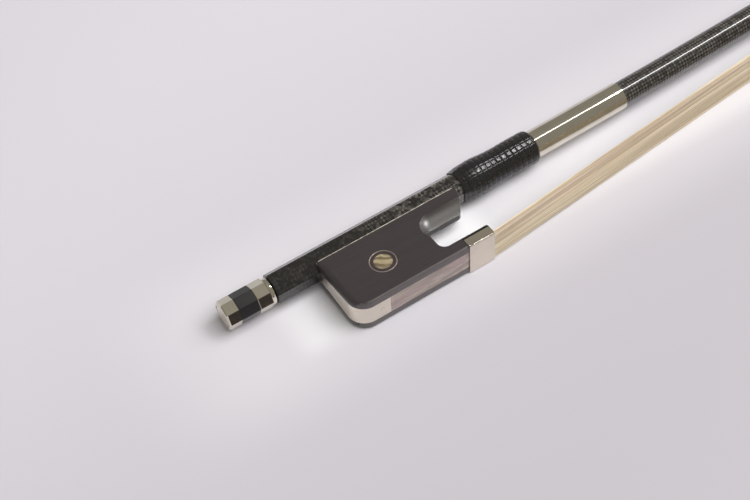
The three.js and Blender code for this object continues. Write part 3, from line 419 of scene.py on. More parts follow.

# %% [markdown]
# The stick is woven carbon under clear lacquer. A sleeve of carbon tows is braided round a mandrel, so the
# tows cross at forty-five degrees and each shows as a small diamond, lighter where its fibres face the light.
# That lightness is painted into the colour as pale diamonds and flecks, a painted sheen.
# The angle round the stick comes from the y and z of each point, after the bend of the stick is taken off.
# No two tows are pressed alike, so each diamond draws its own chance of being light. On the handle that
# scatters light flecks in broad patches, and it stays nearly black towards the button. Past the leather the
# same weave is more even.

# %% Carbon weave under lacquer
STRAIGHT = 60.0
STICK_REACH = 672.0
CAMBER = 46.8 / (STICK_REACH - STRAIGHT) ** 2
OCTAGON_END = 86.0
ROUND_START = 97.0
HANDLE_APOTHEM = 5.3
GRIP_RADIUS = 4.78
TIP_RADIUS = 3.6
TAPER_SHARE = 1.7


def rise(x):
    return CAMBER * max(0.0, x - STRAIGHT) ** 2


def stick_radius(x):
    share = max(0.0, (x - OCTAGON_END) / (STICK_REACH - OCTAGON_END))
    return GRIP_RADIUS - (GRIP_RADIUS - TIP_RADIUS) * share**TAPER_SHARE


def angle_round_stick(x, y, z):
    past = x - STRAIGHT
    past = past.maths("MAXIMUM", past, 0.0)
    return z.maths("ARCTAN2", z, y - past * past * CAMBER)


def carbon(name, tow, tones):
    sheet = Sheet(name)
    x, y, z = sheet.place()
    round_way = angle_round_stick(x, y, z) * GRIP_RADIUS
    one_way = (x + round_way) / (tow * math.sqrt(2))
    other_way = (x - round_way) / (tow * math.sqrt(2))
    across_one = one_way.one("FRACT") - 0.5
    across_other = other_way.one("FRACT") - 0.5
    parity = (one_way.one("FLOOR") + other_way.one("FLOOR")) * 0.5
    over = parity.one("FRACT").over(0.25)
    crown_one = 1 - across_one * across_one * 4
    crown_other = 1 - across_other * across_other * 4
    crown = crown_one * over + crown_other * (1 - over)
    fibre_one = sheet.noise(sheet.point(one_way * 9, other_way * 0.5, 0.0), 1.0, 2.0, 0.6)
    fibre_other = sheet.noise(sheet.point(other_way * 9, one_way * 0.5, 7.0), 1.0, 2.0, 0.6)
    fibre = fibre_one * over + fibre_other * (1 - over)
    cells = sheet.node("ShaderNodeTexWhiteNoise", {"noise_dimensions": "2D"}, {
        "Vector": sheet.point(one_way.one("FLOOR"), other_way.one("FLOOR"), 0.0),
    })
    chance = Amount(sheet, cells.outputs["Value"])
    patches = sheet.noise(sheet.point(x * 0.5, round_way, 0.0), 0.32, 3.0, 0.6)
    shaft = x.ramp(ROUND_START - 12, ROUND_START)
    light = over * (shaft * 0.15 + 0.35) + fibre * 0.3 + chance * (0.75 - shaft * 0.2) - 0.35
    cloudy = patches.ramp(0.32, 0.62, 0.2, 1.0)
    painted_sheen = light.ramp(0.1, 0.75) * crown.ramp(0.0, 0.7, 0.2, 1.0) * x.ramp(25.0, 68.0, 0.14, 1.0)
    painted_sheen = painted_sheen * (shaft * 0.48 + cloudy * 0.8 * (1 - shaft))
    # painted sheen: the pale tone stands for tows catching the light
    dark_tone, painted_sheen_tone = (colour(*tone) for tone in tones)
    weave = sheet.blend(painted_sheen, dark_tone, painted_sheen_tone)
    return sheet.finish(
        colour=weave,
        rough=0.45 - over * 0.08,
        normal=sheet.bump(crown * 0.7 + fibre * 0.3, 0.006, 0.4),
        coat=0.8,
        coat_rough=0.07,
        coat_ior=1.7,
        specular=0.2,
    )


carbon_weave = carbon("carbon_weave_lacquered", 0.92, ((20, 18, 18), (136, 130, 124)))
print("the stick is", round(2 * stick_radius(STICK_REACH), 2), "mm thick at the head")

# %% [markdown]
# The stick starts as an octagonal handle, turns round under the thumb leather and bends away from the hair
# to the head. One section serves for all of it: eight corner arcs whose radius grows until they meet in a
# circle. Drawing it that way keeps the same number of points in every row, so the skin has no seams.

# %% Stick sections


def eight_sided(apothem, corner, turn=0.0, points=6):
    section = []
    reach = (apothem - corner) / math.cos(math.pi / 8)
    for side in range(8):
        middle = math.radians(22.5 + 45 * side + turn)
        for step in range(points):
            angle = middle + math.radians(45 * ((step + 0.5) / points - 0.5))
            section.append((
                reach * math.cos(middle) + corner * math.cos(angle),
                reach * math.sin(middle) + corner * math.sin(angle),
            ))
    return section


def circle(radius, points=48):
    turns = [2 * math.pi * (step + 0.5) / points for step in range(points)]
    return [(radius * math.cos(turn), radius * math.sin(turn)) for turn in turns]


def on_stick(x, section):
    tilt = math.atan(2 * CAMBER * max(0.0, x - STRAIGHT))
    return [(x - out * math.sin(tilt), rise(x) + out * math.cos(tilt), z) for out, z in section]


def stick_section(x):
    share = share_of(x, OCTAGON_END, ROUND_START)
    radius = stick_radius(x)
    apothem = HANDLE_APOTHEM + (radius - HANDLE_APOTHEM) * share
    return eight_sided(apothem, HANDLE_CORNER + (radius - HANDLE_CORNER) * share)


HANDLE_CORNER = 0.35
BUTT_CHAMFER = 0.35
HANDLE_STATIONS = [BUTT_CHAMFER, 20, 40, 60, 66, 72, 78, 83, 86, 88, 90, 92, 94, 96, 97]
SHAFT_STATIONS = numpy.linspace(104, 644, 46)
stick_rows = [on_stick(0, eight_sided(HANDLE_APOTHEM - BUTT_CHAMFER, HANDLE_CORNER))]
stick_rows += [on_stick(x, stick_section(x)) for x in [*HANDLE_STATIONS, *SHAFT_STATIONS]]
print("the shaft has", len(stick_rows), "sections")

# %% [markdown]
# The head is carved from the same blank. It stands on the hair's line, so its own u runs along the hair and
# v away from it. Three smooth lines give its back and foot, its face and top, and its width from above, and
# a section runs from the shaft's circle to a wedge with flat cheeks and a ridge on top.

# %% Head sections
HEAD_FOOT_Y = 26.5
HAIR_LEVEL = -28.14
HAIR_RISE = 54.03
HEAD_ANGLE = math.atan2(HAIR_RISE, STICK_REACH - FERRULE_HIGH[0])


def smooth_line(points, steps=10):
    marks = [numpy.array(point, float) for point in points]
    marks = [2 * marks[0] - marks[1], *marks, 2 * marks[-1] - marks[-2]]
    line = []
    for before, here, after, later in zip(marks, marks[1:], marks[2:], marks[3:]):
        for share in numpy.arange(steps) / steps:
            pull = (after - before) * share
            bend = (2 * before - 5 * here + 4 * after - later) * share**2
            swing = (3 * here - before - 3 * after + later) * share**3
            line.append(here + (pull + bend + swing) / 2)
    line.append(marks[-2])
    return numpy.array(line)


HEAD_START = -22
HEAD_BACK = -4.2
PLATES_TOP = 1.62
BACK_LINE = smooth_line([
    (HEAD_START, 15.06), (-13.6, 14.95), (-7.9, 13.6), (-5.3, 10.4), (-4.5, 6.4), (HEAD_BACK, PLATES_TOP),
])
FACE_LINE = smooth_line([
    (HEAD_START, 22.2), (-12, 23.0), (0.4, 23.9), (4.2, 23.2), (7.2, 20.1),
    (9.5, 13.9), (12.3, 7.6), (16.5, 3.35), (21.2, 1.8),
])
PLAN_LINE = smooth_line([
    (HEAD_START, 3.66), (-11, 3.78), (-6.6, 4.7), (-3.5, 5.66), (1.7, 5.9),
    (7.2, 5.3), (12.7, 3.66), (17.4, 2.0), (21.3, 0.7),
])

WEDGE_ANGLES = (0, 22.5, 45, 67.5, 90, 112.5, 135, 157.5, 180)
WEDGE_HEIGHTS = (1.0, 0.985, 0.93, 0.78, 0.56, 0.28, 0.0, 0.0, 0.0)
WEDGE_WIDTHS = (0.0, 0.2, 0.4, 0.62, 0.8, 0.93, 1.0, 0.5, 0.0)


def on_head(u, v, w):
    cos, sin = math.cos(HEAD_ANGLE), math.sin(HEAD_ANGLE)
    return (STICK_REACH + u * cos - v * sin, HEAD_FOOT_Y + u * sin + v * cos, w)


def along_line(line, u):
    return float(numpy.interp(u, line[:, 0], line[:, 1]))


def head_row(u):
    low = along_line(BACK_LINE, u) if u < HEAD_BACK else PLATES_TOP
    high, half = along_line(FACE_LINE, u), along_line(PLAN_LINE, u)
    share = ease(share_of(u, HEAD_START, HEAD_START + 13))
    row = []
    for y, z in circle(1.0):
        angle = math.degrees(math.acos(y))
        round_v, round_w = 0.5 + 0.5 * y, abs(z)
        carved_v = numpy.interp(angle, WEDGE_ANGLES, WEDGE_HEIGHTS)
        carved_w = numpy.interp(angle, WEDGE_ANGLES, WEDGE_WIDTHS)
        v = low + (high - low) * (round_v + (carved_v - round_v) * share)
        w = half * (round_w + (carved_w - round_w) * share)
        row.append(on_head(u, v, math.copysign(w, z)))
    return row


HEAD_STATIONS = [
    HEAD_START, -19, -16, -13.5, -11.5, -9.8, -8.4, -7.4, -6.6, -6, -5.5, -5.1, -4.8, -4.6, -4.42, -4.3,
    HEAD_BACK, -3, -1.5, 0, 1.5, 3, 4.2, 5.2, 6.2, 7.2, 8.2, 9.2, 10.2, 11.2, 12.3, 13.5, 15, 16.5, 18,
    19.6, 21.2,
]
stick = skin("bow_stick", stick_rows + [head_row(u) for u in HEAD_STATIONS])


def head_mortise(u0=2.6, u1=9.6, v0=-2, v1=8, half=4.3):
    corners = [[on_head(u, v, w) for u, v in ((u0, v0), (u1, v0), (u1, v1), (u0, v1))] for w in (-half, half)]
    return skin("head_mortise", corners)


SCREW_BORE = 1.95
NOSE_BORE = 1.45
carve(
    stick,
    rod("screw_bore", (-2, 0, 0), (67.5, 0, 0), SCREW_BORE),
    rod("nose_bore", (60, 0, 0), (81.5, 0, 0), NOSE_BORE),
    box("eyelet_mortise", 33, 51.1, -12, 2.95, -2.15, 2.15),
    head_mortise(),
)
shade_evenly(stick, 32)
dress(stick, carbon_weave, "stick", "carbon", "stick")

# %% [markdown]
# Past the leather the stick wears a polished sleeve where other bows are wound with silver wire. It is a
# plain tube, so it is a ring-shaped skin of circles with a small round at both ends.

# %% Metal sleeve
SLEEVE_START = 101.0
SLEEVE_END = 150.1
SLEEVE_OUTER = 5.24
SLEEVE_INNER = 4.84
SLEEVE_SIDES = 72


def rounded_tube(start, end, outer, inner, edge, rows):
    near = edge * 0.3
    ends = [(start, inner + edge), (start, outer - edge), (start + near, outer - near)]
    middle = [(x, outer) for x in numpy.linspace(start + edge, end - edge, rows)]
    front = [(end - near, outer - near), (end, outer - edge), (end, inner + edge), (end - edge, inner)]
    back = [(x, inner) for x in numpy.linspace(end - edge * 2, start + edge, rows)]
    return ends + middle + front + back


sleeve = skin("metal_sleeve", [
    on_stick(x, circle(radius, SLEEVE_SIDES))
    for x, radius in rounded_tube(SLEEVE_START, SLEEVE_END, SLEEVE_OUTER, SLEEVE_INNER, 0.16, 8)
], ring_shaped=True)
shade_evenly(sleeve, 30)
dress(sleeve, silver, "stick", "nickel_silver", "grip_sleeve")

# %% [markdown]
# The thumb leather is a strip of black embossed skin, glued round the stick. It ramps up from the handle and
# ends in a rolled edge over the sleeve. It is stamped with a grid of square scales, each a flat little tile
# between sunk lines, so the sections are fine enough to give every tile its own flat top. That is why the
# lamp shows on the real leather as a row of lit squares. The fine ribs on each tile are left to its surface.
# Where it starts, the skin is thin and still shows the eight corners under it. It gets round as it thickens.

# %% Thumb leather
LEATHER_START = 76.5
LEATHER_END = 109.5
LEATHER_THICK = 0.95
LEATHER_EDGE = 0.3
LEATHER_RAMP = 5.0
LEATHER_HUG = 9.0
LEATHER_ROLL = 1.6
GLUE_GAP = 0.12
SCALES_ROUND = 18
SCALE_TURN = 110.8
SCALE_PITCH = 2.25
SCALE_RAISE = 0.2
SCALE_EDGE = (0.72, 0.96)
FACES_A_SCALE = 10


def octagon_reach(angle, apothem):
    side = math.pi / 4
    return apothem / math.cos(angle - side * round(angle / side))


def leather_bed(x, angle):
    share = share_of(x, OCTAGON_END, ROUND_START)
    reach = octagon_reach(angle, HANDLE_APOTHEM) * (1 - share) + stick_radius(x) * share
    metal = SLEEVE_OUTER + 0.06 if x > SLEEVE_START - LEATHER_RAMP / 2 else 0.0
    return max(reach, metal) + GLUE_GAP


def leather_top(x, angle):
    share = share_of(x, OCTAGON_END, ROUND_START)
    rounded = HANDLE_APOTHEM / math.cos(math.pi / 8) * (1 - share) + stick_radius(x) * share + GLUE_GAP
    over_metal = ease(share_of(x, OCTAGON_END, SLEEVE_START))
    softened = rounded + (SLEEVE_OUTER + 0.18 - rounded) * over_metal
    loose = ease(share_of(x, LEATHER_START, LEATHER_START + LEATHER_HUG))
    softened = (octagon_reach(angle, HANDLE_APOTHEM) + GLUE_GAP) * (1 - loose) + softened * loose
    ramp = share_of(x, LEATHER_START, LEATHER_START + LEATHER_RAMP)
    thick = LEATHER_EDGE + (LEATHER_THICK - LEATHER_EDGE) * math.sin(ramp * math.pi / 2)
    roll = share_of(x, LEATHER_END - LEATHER_ROLL, LEATHER_END)
    return softened + max(LEATHER_EDGE, thick * math.sqrt(1 - roll**2))


def scale_reach(x, angle):
    along = x / SCALE_PITCH
    around = (angle - math.radians(SCALE_TURN)) / (2 * math.pi) * SCALES_ROUND
    off_middle = (around - round(around)) * 2 * math.pi / SCALES_ROUND
    flat = 1 / math.cos(off_middle)
    sunk = 0.0
    for part in (along - 0.5, around):
        inside = abs(part - round(part)) * 2
        sunk = max(sunk, share_of(inside, *SCALE_EDGE))
    return flat, SCALE_RAISE * ease(sunk)


def leather_row(x, outside):
    count = SCALES_ROUND * FACES_A_SCALE
    ends = max(0.0, min(1.0, (x - LEATHER_START) / 1.2, (LEATHER_END - x) / 0.8))
    section = []
    for step in range(count):
        angle = 2 * math.pi * step / count
        if outside:
            flat, sunk = scale_reach(x, angle)
            reach = leather_top(x, angle) * (1 + (flat - 1.008) * ends) - sunk * ends
        else:
            reach = leather_bed(x, angle)
        section.append((reach * math.cos(angle), reach * math.sin(angle)))
    return on_stick(x, section)


outside_steps = int((LEATHER_END - LEATHER_START) / SCALE_PITCH * FACES_A_SCALE)
leather_rows = [leather_row(x, True) for x in numpy.linspace(LEATHER_START, LEATHER_END, outside_steps)]
leather_rows += [leather_row(x, False) for x in numpy.linspace(LEATHER_END, LEATHER_START, 14)]
leather = skin("embossed_leather", leather_rows, ring_shaped=True)
smooth(leather, 60)


def black_leather():
    sheet = Sheet("black_leather")
    x, y, z = sheet.place()
    grain = sheet.noise(sheet.point(x, y, z), 3.2, 4.0, 0.6)
    broad = sheet.noise(sheet.point(x, y, z), 0.35, 2.0, 0.5)
    turn = angle_round_stick(x, y, z) - math.radians(SCALE_TURN)
    ribs_round = (turn * (SCALES_ROUND * 3)).one("COSINE")
    ribs_along = (x * (2 * math.pi / SCALE_PITCH * 2)).one("COSINE")
    ribs = ribs_round * 0.6 + ribs_along * 0.4
    tint = sheet.blend(broad * 0.6 + grain * 0.4, colour(15, 14, 15), colour(30, 29, 30))
    return sheet.finish(
        colour=tint,
        rough=grain * 0.16 + 0.2,
        normal=sheet.bump(ribs * 0.7 + grain * 0.5, 0.03, 0.5),
        coat=0.3,
        coat_rough=0.12,
    )


dress(leather, black_leather(), "stick", "grip_leather", "thumb_leather")

# %% [markdown]
# The button is three eight-sided lengths: a metal ring, an ebony barrel and a second metal ring that ends in
# a round collar against the stick. Each is a ring-shaped skin whose outside is the octagon and whose inside
# is a bore, and the arrises keep a hair of roundness so that they catch the light.

# %% Button
BUTTON_APOTHEM = 5.05
BUTTON_CORNER = 0.16
BUTTON_TURN = 19.8
BUTTON_END = -19.1
ARRIS = 0.12
RING_BORE = 3.86
CAP_SEAT = 4.06
TENON = 3.8


def flats(x, inset=0.0):
    return [(x, y, z) for y, z in eight_sided(BUTTON_APOTHEM - inset, BUTTON_CORNER, BUTTON_TURN)]


def round_row(x, radius):
    return [(x, y, z) for y, z in eight_sided(radius, radius, BUTTON_TURN)]


outer_ring = skin("button_back_ring", [
    flats(BUTTON_END, 0.45), flats(-18.65), flats(-14.36), flats(-14.23, ARRIS),
    round_row(-14.23, RING_BORE), round_row(-18.14, RING_BORE),
    round_row(-18.14, CAP_SEAT), round_row(BUTTON_END, CAP_SEAT),
], ring_shaped=True)
inner_ring = skin("button_front_ring", [
    flats(-7.07, ARRIS), flats(-6.94), flats(-2.2), flats(-2.1, ARRIS),
    round_row(-2.1, 4.6), round_row(-1.98, 4.86), round_row(-1.75, 4.98), round_row(-1.45, 5.0),
    round_row(-0.9, 4.98), round_row(-0.55, 4.86), round_row(-0.33, 4.7), round_row(-0.25, 4.5),
    round_row(-0.25, SCREW_BORE), round_row(-2.04, SCREW_BORE),
    round_row(-2.04, RING_BORE), round_row(-7.07, RING_BORE),
], ring_shaped=True)
barrel = skin("button_wood", [
    round_row(-18.08, TENON), round_row(-14.17, TENON), flats(-14.17, ARRIS), flats(-14.04),
    flats(-7.26), flats(-7.13, ARRIS), round_row(-7.13, TENON), round_row(-2.1, TENON),
])
cap = skin("button_cap", [
    round_row(-18.2, 3.99), round_row(-18.9, 3.99), round_row(-19.03, 3.95), round_row(BUTTON_END, 3.84),
    round_row(BUTTON_END, 3.0), round_row(BUTTON_END, 1.5), round_row(BUTTON_END, 0.0),
])
for piece, look, slot, node in (
    (outer_ring, silver, "nickel_silver", "button_outer_ring"),
    (inner_ring, silver, "nickel_silver", "button_inner_ring"),
    (barrel, ebony_black, "ebony", "button_barrel"),
    (cap, silver_plate, "nickel_silver", "button_end_cap"),
):
    shade_evenly(piece, 34)
    dress(piece, look, "button_unit", slot, node)

# %% [markdown]
# The frog is a block of ebony. Its side outline runs down a straight back, round the heel and along the
# underside to the ferrule, and its cheeks lean out a little towards the hair. Rows across make the block. Its
# edges are rounded in five steps each: broadly up the back, where the hand rubs, narrowly underneath, and
# hardly at the top, where the block meets the stick.

# %% Frog block
FROG_BACK = 16.5
FROG_FRONT = 73.6
FROG_TOP = -3.1
FROG_BOTTOM = -28.75
HEEL_RADIUS = 6.5
BACK_BEVEL = 2.3
BACK_BEVEL_FADE = 4.0
UNDER_BEVEL = 0.85
THROAT_TOP = -11.6
FERRULE_BACK = 61.7
THROAT_BACK = 53.8
CHEEK_TOP_HALF = 5.7
CHEEK_SLOPE = 1.6 / 25.65
ARC_STEPS = 24


def arc(centre_x, centre_y, radius, start, end, steps=ARC_STEPS):
    turns = numpy.radians(numpy.linspace(start, end, steps + 1))
    return [(centre_x + radius * math.cos(turn), centre_y + radius * math.sin(turn)) for turn in turns]


def curve_between(start, handle, end, steps=16):
    shares = numpy.linspace(0, 1, steps + 1)
    line = []
    for share in shares:
        line.append(tuple(
            (1 - share) ** 2 * start[axis] + 2 * share * (1 - share) * handle[axis] + share**2 * end[axis]
            for axis in range(2)
        ))
    return line


def heel_line(back_inset, under_inset):
    centre = (FROG_BACK + HEEL_RADIUS, FROG_BOTTOM + HEEL_RADIUS)
    return [
        (centre[0] + x * (HEEL_RADIUS - back_inset), centre[1] + y * (HEEL_RADIUS - under_inset))
        for x, y in arc(0, 0, 1, 180, 270)
    ]


def frog_outline(back_inset, under_inset):
    nose_x, brow = FROG_FRONT - 4.2, (FROG_FRONT - 1.7, THROAT_TOP + 2.8)
    handle = (nose_x + 0.55 * (brow[0] - nose_x), THROAT_TOP)
    return [
        (FROG_BACK + under_inset, FROG_TOP),
        (FROG_BACK + back_inset, FROG_TOP - BACK_BEVEL_FADE),
        *heel_line(back_inset, under_inset),
        (FERRULE_BACK - 0.06, FROG_BOTTOM + under_inset),
        (FERRULE_BACK - 0.06, THROAT_TOP),
        *curve_between((nose_x, THROAT_TOP), handle, brow),
        (FROG_FRONT, FROG_TOP),
    ]


def cheek_half(y):
    return CHEEK_TOP_HALF + CHEEK_SLOPE * (FROG_TOP - y)


def frog_row(side, drawn_in, stepped_out):
    row = []
    for index, (x, y) in enumerate(frog_outline(drawn_in * BACK_BEVEL, drawn_in * UNDER_BEVEL)):
        share = share_of(index, 2, 2 + ARC_STEPS)
        bevel = UNDER_BEVEL if index == 0 else BACK_BEVEL + (UNDER_BEVEL - BACK_BEVEL) * share
        row.append((x, y, side * (cheek_half(y) - (1 - stepped_out) * bevel)))
    return row


EDGE_ROUND = [(1.0, 1.0), (0.62, 0.86), (0.34, 0.66), (0.14, 0.38), (0.0, 0.0)]
frog_rows = [frog_row(-1, drawn_in, stepped_out) for drawn_in, stepped_out in EDGE_ROUND]
frog_rows += [frog_row(1, drawn_in, stepped_out) for drawn_in, stepped_out in reversed(EDGE_ROUND)]
frog = skin("ebony_frog", frog_rows)
print("the frog block has", len(frog.data.vertices), "points")

# %% [markdown]
# Five kinds of cut shape the block: the throat for the thumb, a long round hollow on each cheek above it,
# the channel for the stick, the holes for the hair, the pins and the eyelet, and shallow beds for the plate,
# the slide and the eyes. The tongue inside the ferrule is added after the first two. Each cutter is a skin or
# a primitive taken away with a Boolean, as its tool takes it from the wood.

# %% Cuts in the frog
FERRULE_FRONT = 72.2
FERRULE_FACE = -29.17
FERRULE_TOP = -22.17
FERRULE_HALF = 7.45
FERRULE_SPRING = FERRULE_FACE + 3.4
PLATE_END = 29.65
PLATE_TOP_HALF = 2.35
SLIDE_HALF = 4.05
THROAT_TOP_ROUND = 1.9
THROAT_FLOOR_ROUND = 3.0
THROAT_CUT_HALF = 8.8
TONGUE_GAP = 0.21
CHANNEL_RIM = 10.6
SCOOP_RADIUS = 6.0
SCOOP_BACK = 58.9
SCOOP_LEVEL = -13.7
SCOOP_SIDE = 6.9
EYE_X = 34.9
EYE_Y = -16.4
EYE_SIDES = 80
PIN_X = 26.25
PIN_Y = -9.1


def crown(inset, steps):
    half, climb = FERRULE_HALF - inset, FERRULE_TOP - inset - FERRULE_SPRING
    turns = numpy.linspace(math.pi, 0, steps + 1)
    return [(FERRULE_SPRING + climb * math.sin(turn), half * math.cos(turn)) for turn in turns]


def arch(inset, floor):
    half = FERRULE_HALF - inset
    return [(floor, -half), *crown(inset, 40), (floor, half)]


def throat_rows(levels=16):
    rows = []
    climb = FERRULE_TOP - TONGUE_GAP - FERRULE_SPRING
    top_round, floor_round = THROAT_TOP_ROUND, THROAT_FLOOR_ROUND
    for index in range(-levels, levels + 1):
        side = math.sin(index / levels * math.pi / 2)
        lean = min(abs(side), 0.9)
        floor = FERRULE_SPRING + climb * math.sqrt(1 - lean * lean)
        reach = THROAT_CUT_HALF if abs(index) == levels else FERRULE_HALF * abs(side)
        outline = [
            (FROG_FRONT + 1.5, THROAT_TOP),
            *arc(THROAT_BACK + top_round, THROAT_TOP - top_round, top_round, 90, 180, 12),
            *arc(THROAT_BACK + floor_round, floor + floor_round, floor_round, 180, 270, 18),
            (FROG_FRONT + 1.5, floor),
        ]
        rows.append([(x, y, math.copysign(reach, index) if index else 0.0) for x, y in outline])
    return rows


def scoop(side):
    turns = numpy.linspace(math.pi, math.pi / 2, 20)
    nose = [(SCOOP_BACK + SCOOP_RADIUS * math.cos(turn), SCOOP_RADIUS * math.sin(turn)) for turn in turns]
    rows = []
    for x, radius in [*nose, (FROG_FRONT + 1.5, SCOOP_RADIUS)]:
        rows.append([(x, y + SCOOP_LEVEL, z + side * SCOOP_SIDE) for y, z in circle(radius, 96)])
    return skin("scoop_cutter", rows)


def channel(apothem, start, end):
    step = apothem * math.tan(math.pi / 8)
    slant = CHANNEL_RIM - step
    rim, side = slant - apothem, step + slant
    section = [(-apothem, -step), (-apothem, step), (rim, side), (rim, -side)]
    return skin("channel_cutter", along_handle(section, (start, end)))


def plate_rows(outside, inside, extra, end):
    rows = []
    path = [(FROG_TOP if outside < 0 else -6.06), -12.0, -17.0]
    outer = [(FROG_BACK + outside, y) for y in path] + heel_line(outside, outside)
    inner = [(FROG_BACK + inside, y) for y in path] + heel_line(inside, inside)
    outer.append((end, FROG_BOTTOM + outside))
    inner.append((end, FROG_BOTTOM + inside))
    for (x0, y0), (x1, y1) in zip(outer, inner):
        share = share_of(y0, FROG_TOP, FROG_BOTTOM + HEEL_RADIUS)
        half = PLATE_TOP_HALF + (SLIDE_HALF - PLATE_TOP_HALF) * share + extra
        rows.append([(x0, y0, half), (x0, y0, -half), (x1, y1, -half), (x1, y1, half)])
    return rows


def eye_spot(side):
    lean = Matrix.Rotation(-math.atan(CHEEK_SLOPE), 4, "X")
    spot = Matrix.Translation((EYE_X, EYE_Y, cheek_half(EYE_Y))) @ lean
    return spot if side > 0 else Matrix.Scale(-1, 4, (0, 0, 1)) @ spot


def lathe(name, profile, spot, ring_shaped=False):
    rows = []
    for height, radius in profile:
        rows.append([tuple(spot @ Vector((a, b, height))) for a, b in circle(radius, EYE_SIDES)])
    return skin(name, rows, ring_shaped=ring_shaped)


def pin_holes(radius):
    return [
        rod("lower_hole", (PIN_X, FROG_BOTTOM - 1, 0), (PIN_X, FROG_BOTTOM + 3.7, 0), radius, 24),
        rod("rear_hole", (FROG_BACK - 1, PIN_Y, 0), (FROG_BACK + 3.7, PIN_Y, 0), radius, 24),
    ]


carve(frog, skin("throat_cutter", throat_rows()), scoop(1), scoop(-1))
carve(frog, skin("tongue", along_handle(arch(0.48, -26.0), (60.2, 71.0))), operation="UNION")
carve(
    frog,
    channel(6.06, FROG_BACK - 1.5, FROG_FRONT + 1.5),
    box("slide_bed", PLATE_END, 63.2, -30.3, -26.93, -4.11, 4.11),
    box("backing_bed", PLATE_END, 63.2, -27.85, -26.93, -4.56, 4.56),
    box("hair_mortise", 45.3, 55.3, -30.3, -19.4, -3.8, 3.8),
    skin("plate_bed", plate_rows(-1.5, 0.86, 0.05, PLATE_END + 0.06)),
    *pin_holes(0.71),
    rod("eyelet_hole", (44.5, 0, 0), (44.5, -13.4, 0), 1.91, 40),
)
for side in (1, -1):
    carve(
        frog,
        lathe("dot_bed", [(-1.06, 3.34), (2, 3.34)], eye_spot(side)),
        lathe("ring_bed", [(-1.06, 4.41), (2, 4.41), (2, 4.94), (-1.06, 4.94)], eye_spot(side), True),
    )
print("the carved frog has", len(frog.data.polygons), "faces")
soften(frog, 0.13)

# %% [markdown]
# One block of wood shows three finishes. By hand the faces are picked and given another material slot. Here a
# test picks them by their place and the way they face: the strips along the underside, painted paler as a
# painted reflection, and the two burnished hollows, painted paler as a painted sheen. The lining of the
# channel shows its thin edges along the top of the frog, so two fine rods stand for those edges, painted pale
# and only partly metal, a painted highlight.

# %% Finishes of the frog


def mark_faces(piece, finish, wanted):
    piece.data.materials.append(finish)
    slot = len(piece.data.materials) - 1
    for face in piece.data.polygons:
        if wanted((Vector(face.center) - Vector(BUTT)) / MM, face.normal):
            face.material_index = slot


def on_underside(centre, normal):
    underneath = normal.y < -0.5 and centre.x < FERRULE_BACK and centre.y < FROG_BOTTOM + 2.6
    return underneath and abs(centre.z) > 4.2


def in_scoop(centre, normal):
    off_axis = math.hypot(centre.y - SCOOP_LEVEL, abs(centre.z) - SCOOP_SIDE)
    reach = math.hypot(min(0.0, centre.x - SCOOP_BACK), off_axis)
    return centre.x < FROG_FRONT - 0.3 and abs(reach - SCOOP_RADIUS) < 0.12 and abs(centre.z) < 6.3


dress(frog, ebony_wood, "frog_unit", "ebony", "frog_body")
mark_faces(frog, ebony_painted_pale, on_underside)
mark_faces(frog, ebony_scoop_painted_sheen, in_scoop)


def painted_highlight_edge():
    sheet = Sheet("lining_edge_painted_highlight")
    x, y, z = sheet.place()
    highlight_patches = sheet.noise(sheet.point(x * 0.6, y, z), 1.0, 3.0, 0.6)
    # painted highlight: a pale, only partly metal colour that shows as a bright line along the frog's top
    tint = sheet.blend(highlight_patches.ramp(0.35, 0.65), colour(150, 144, 132), colour(222, 216, 202))
    return sheet.finish(colour=tint, rough=0.3 + highlight_patches * 0.1, metal=0.3)


SIDES = (("upper", 1), ("lower", -1))
for word, side in SIDES:
    level, height = FROG_TOP - 0.06, side * (CHEEK_TOP_HALF - 0.02)
    lip = rod(f"lining_lip_{word}", (17.2, level, height), (FROG_FRONT - 1.2, level, height), 0.15, 12)
    dress(lip, painted_highlight_edge(), "frog_unit", "nickel_silver")

# %% [markdown]
# The heel plate is one strip of metal bent round the heel, held by two pins that are filed flush. The
# ferrule is a D-shaped tube: a flat face towards the hair and an arch over the tongue. The arch is given a
# much darker silver than the flat face.

# %% Heel plate and ferrule
plate = skin("heel_metal", plate_rows(0.0, 0.8, 0.0, PLATE_END))
carve(plate, *pin_holes(0.69))
soften(plate, 0.07)
dress(plate, silver_plate, "frog_unit", "nickel_silver", "heel_plate")

FERRULE_WALL = 0.42


def d_section(inset):
    floor = FERRULE_FACE + min(inset, FERRULE_WALL)
    half, corner = FERRULE_HALF - inset, max(0.08, 0.45 - inset)
    low = arc(floor + corner, -half + corner, corner, 180, 270, 6)
    high = [(y, -z) for y, z in reversed(low)]
    return [*low, *crown(inset, 48), *high]


def d_row(x, inset):
    return [(x, y, z) for y, z in d_section(inset)]


def on_arch(centre, normal):
    return normal.y > 0.12 and centre.y > -27.5


ferrule = skin("d_ferrule", [
    d_row(FERRULE_BACK, 0.1), d_row(FERRULE_BACK + 0.03, 0.03), d_row(FERRULE_BACK + 0.1, 0.0),
    d_row(FERRULE_FRONT - 0.12, 0.0), d_row(FERRULE_FRONT - 0.03, 0.04), d_row(FERRULE_FRONT, 0.12),
    d_row(FERRULE_FRONT, 0.3), d_row(FERRULE_FRONT - 0.03, 0.38), d_row(FERRULE_FRONT - 0.12, FERRULE_WALL),
    d_row(FERRULE_BACK + 0.1, FERRULE_WALL), d_row(FERRULE_BACK, 0.32),
], ring_shaped=True)
shade_evenly(ferrule, 35)
dress(ferrule, silver_plate, "frog_unit", "nickel_silver", "ferrule")
# the faces of the arch get the much darker silver
mark_faces(ferrule, silver_dark, on_arch)

# %% [markdown]
# Mother of pearl is thin layers of shell that shimmer in pale pinks, greys and greens. The slide is sawn
# across the layers, so it shows long wavy bands, and the eyes show them closer together. A noise bends the
# coordinate of a band pattern, and the bands blend four tones. No picture is needed, and the bands run on
# over every side of a piece.

# %% Mother of pearl


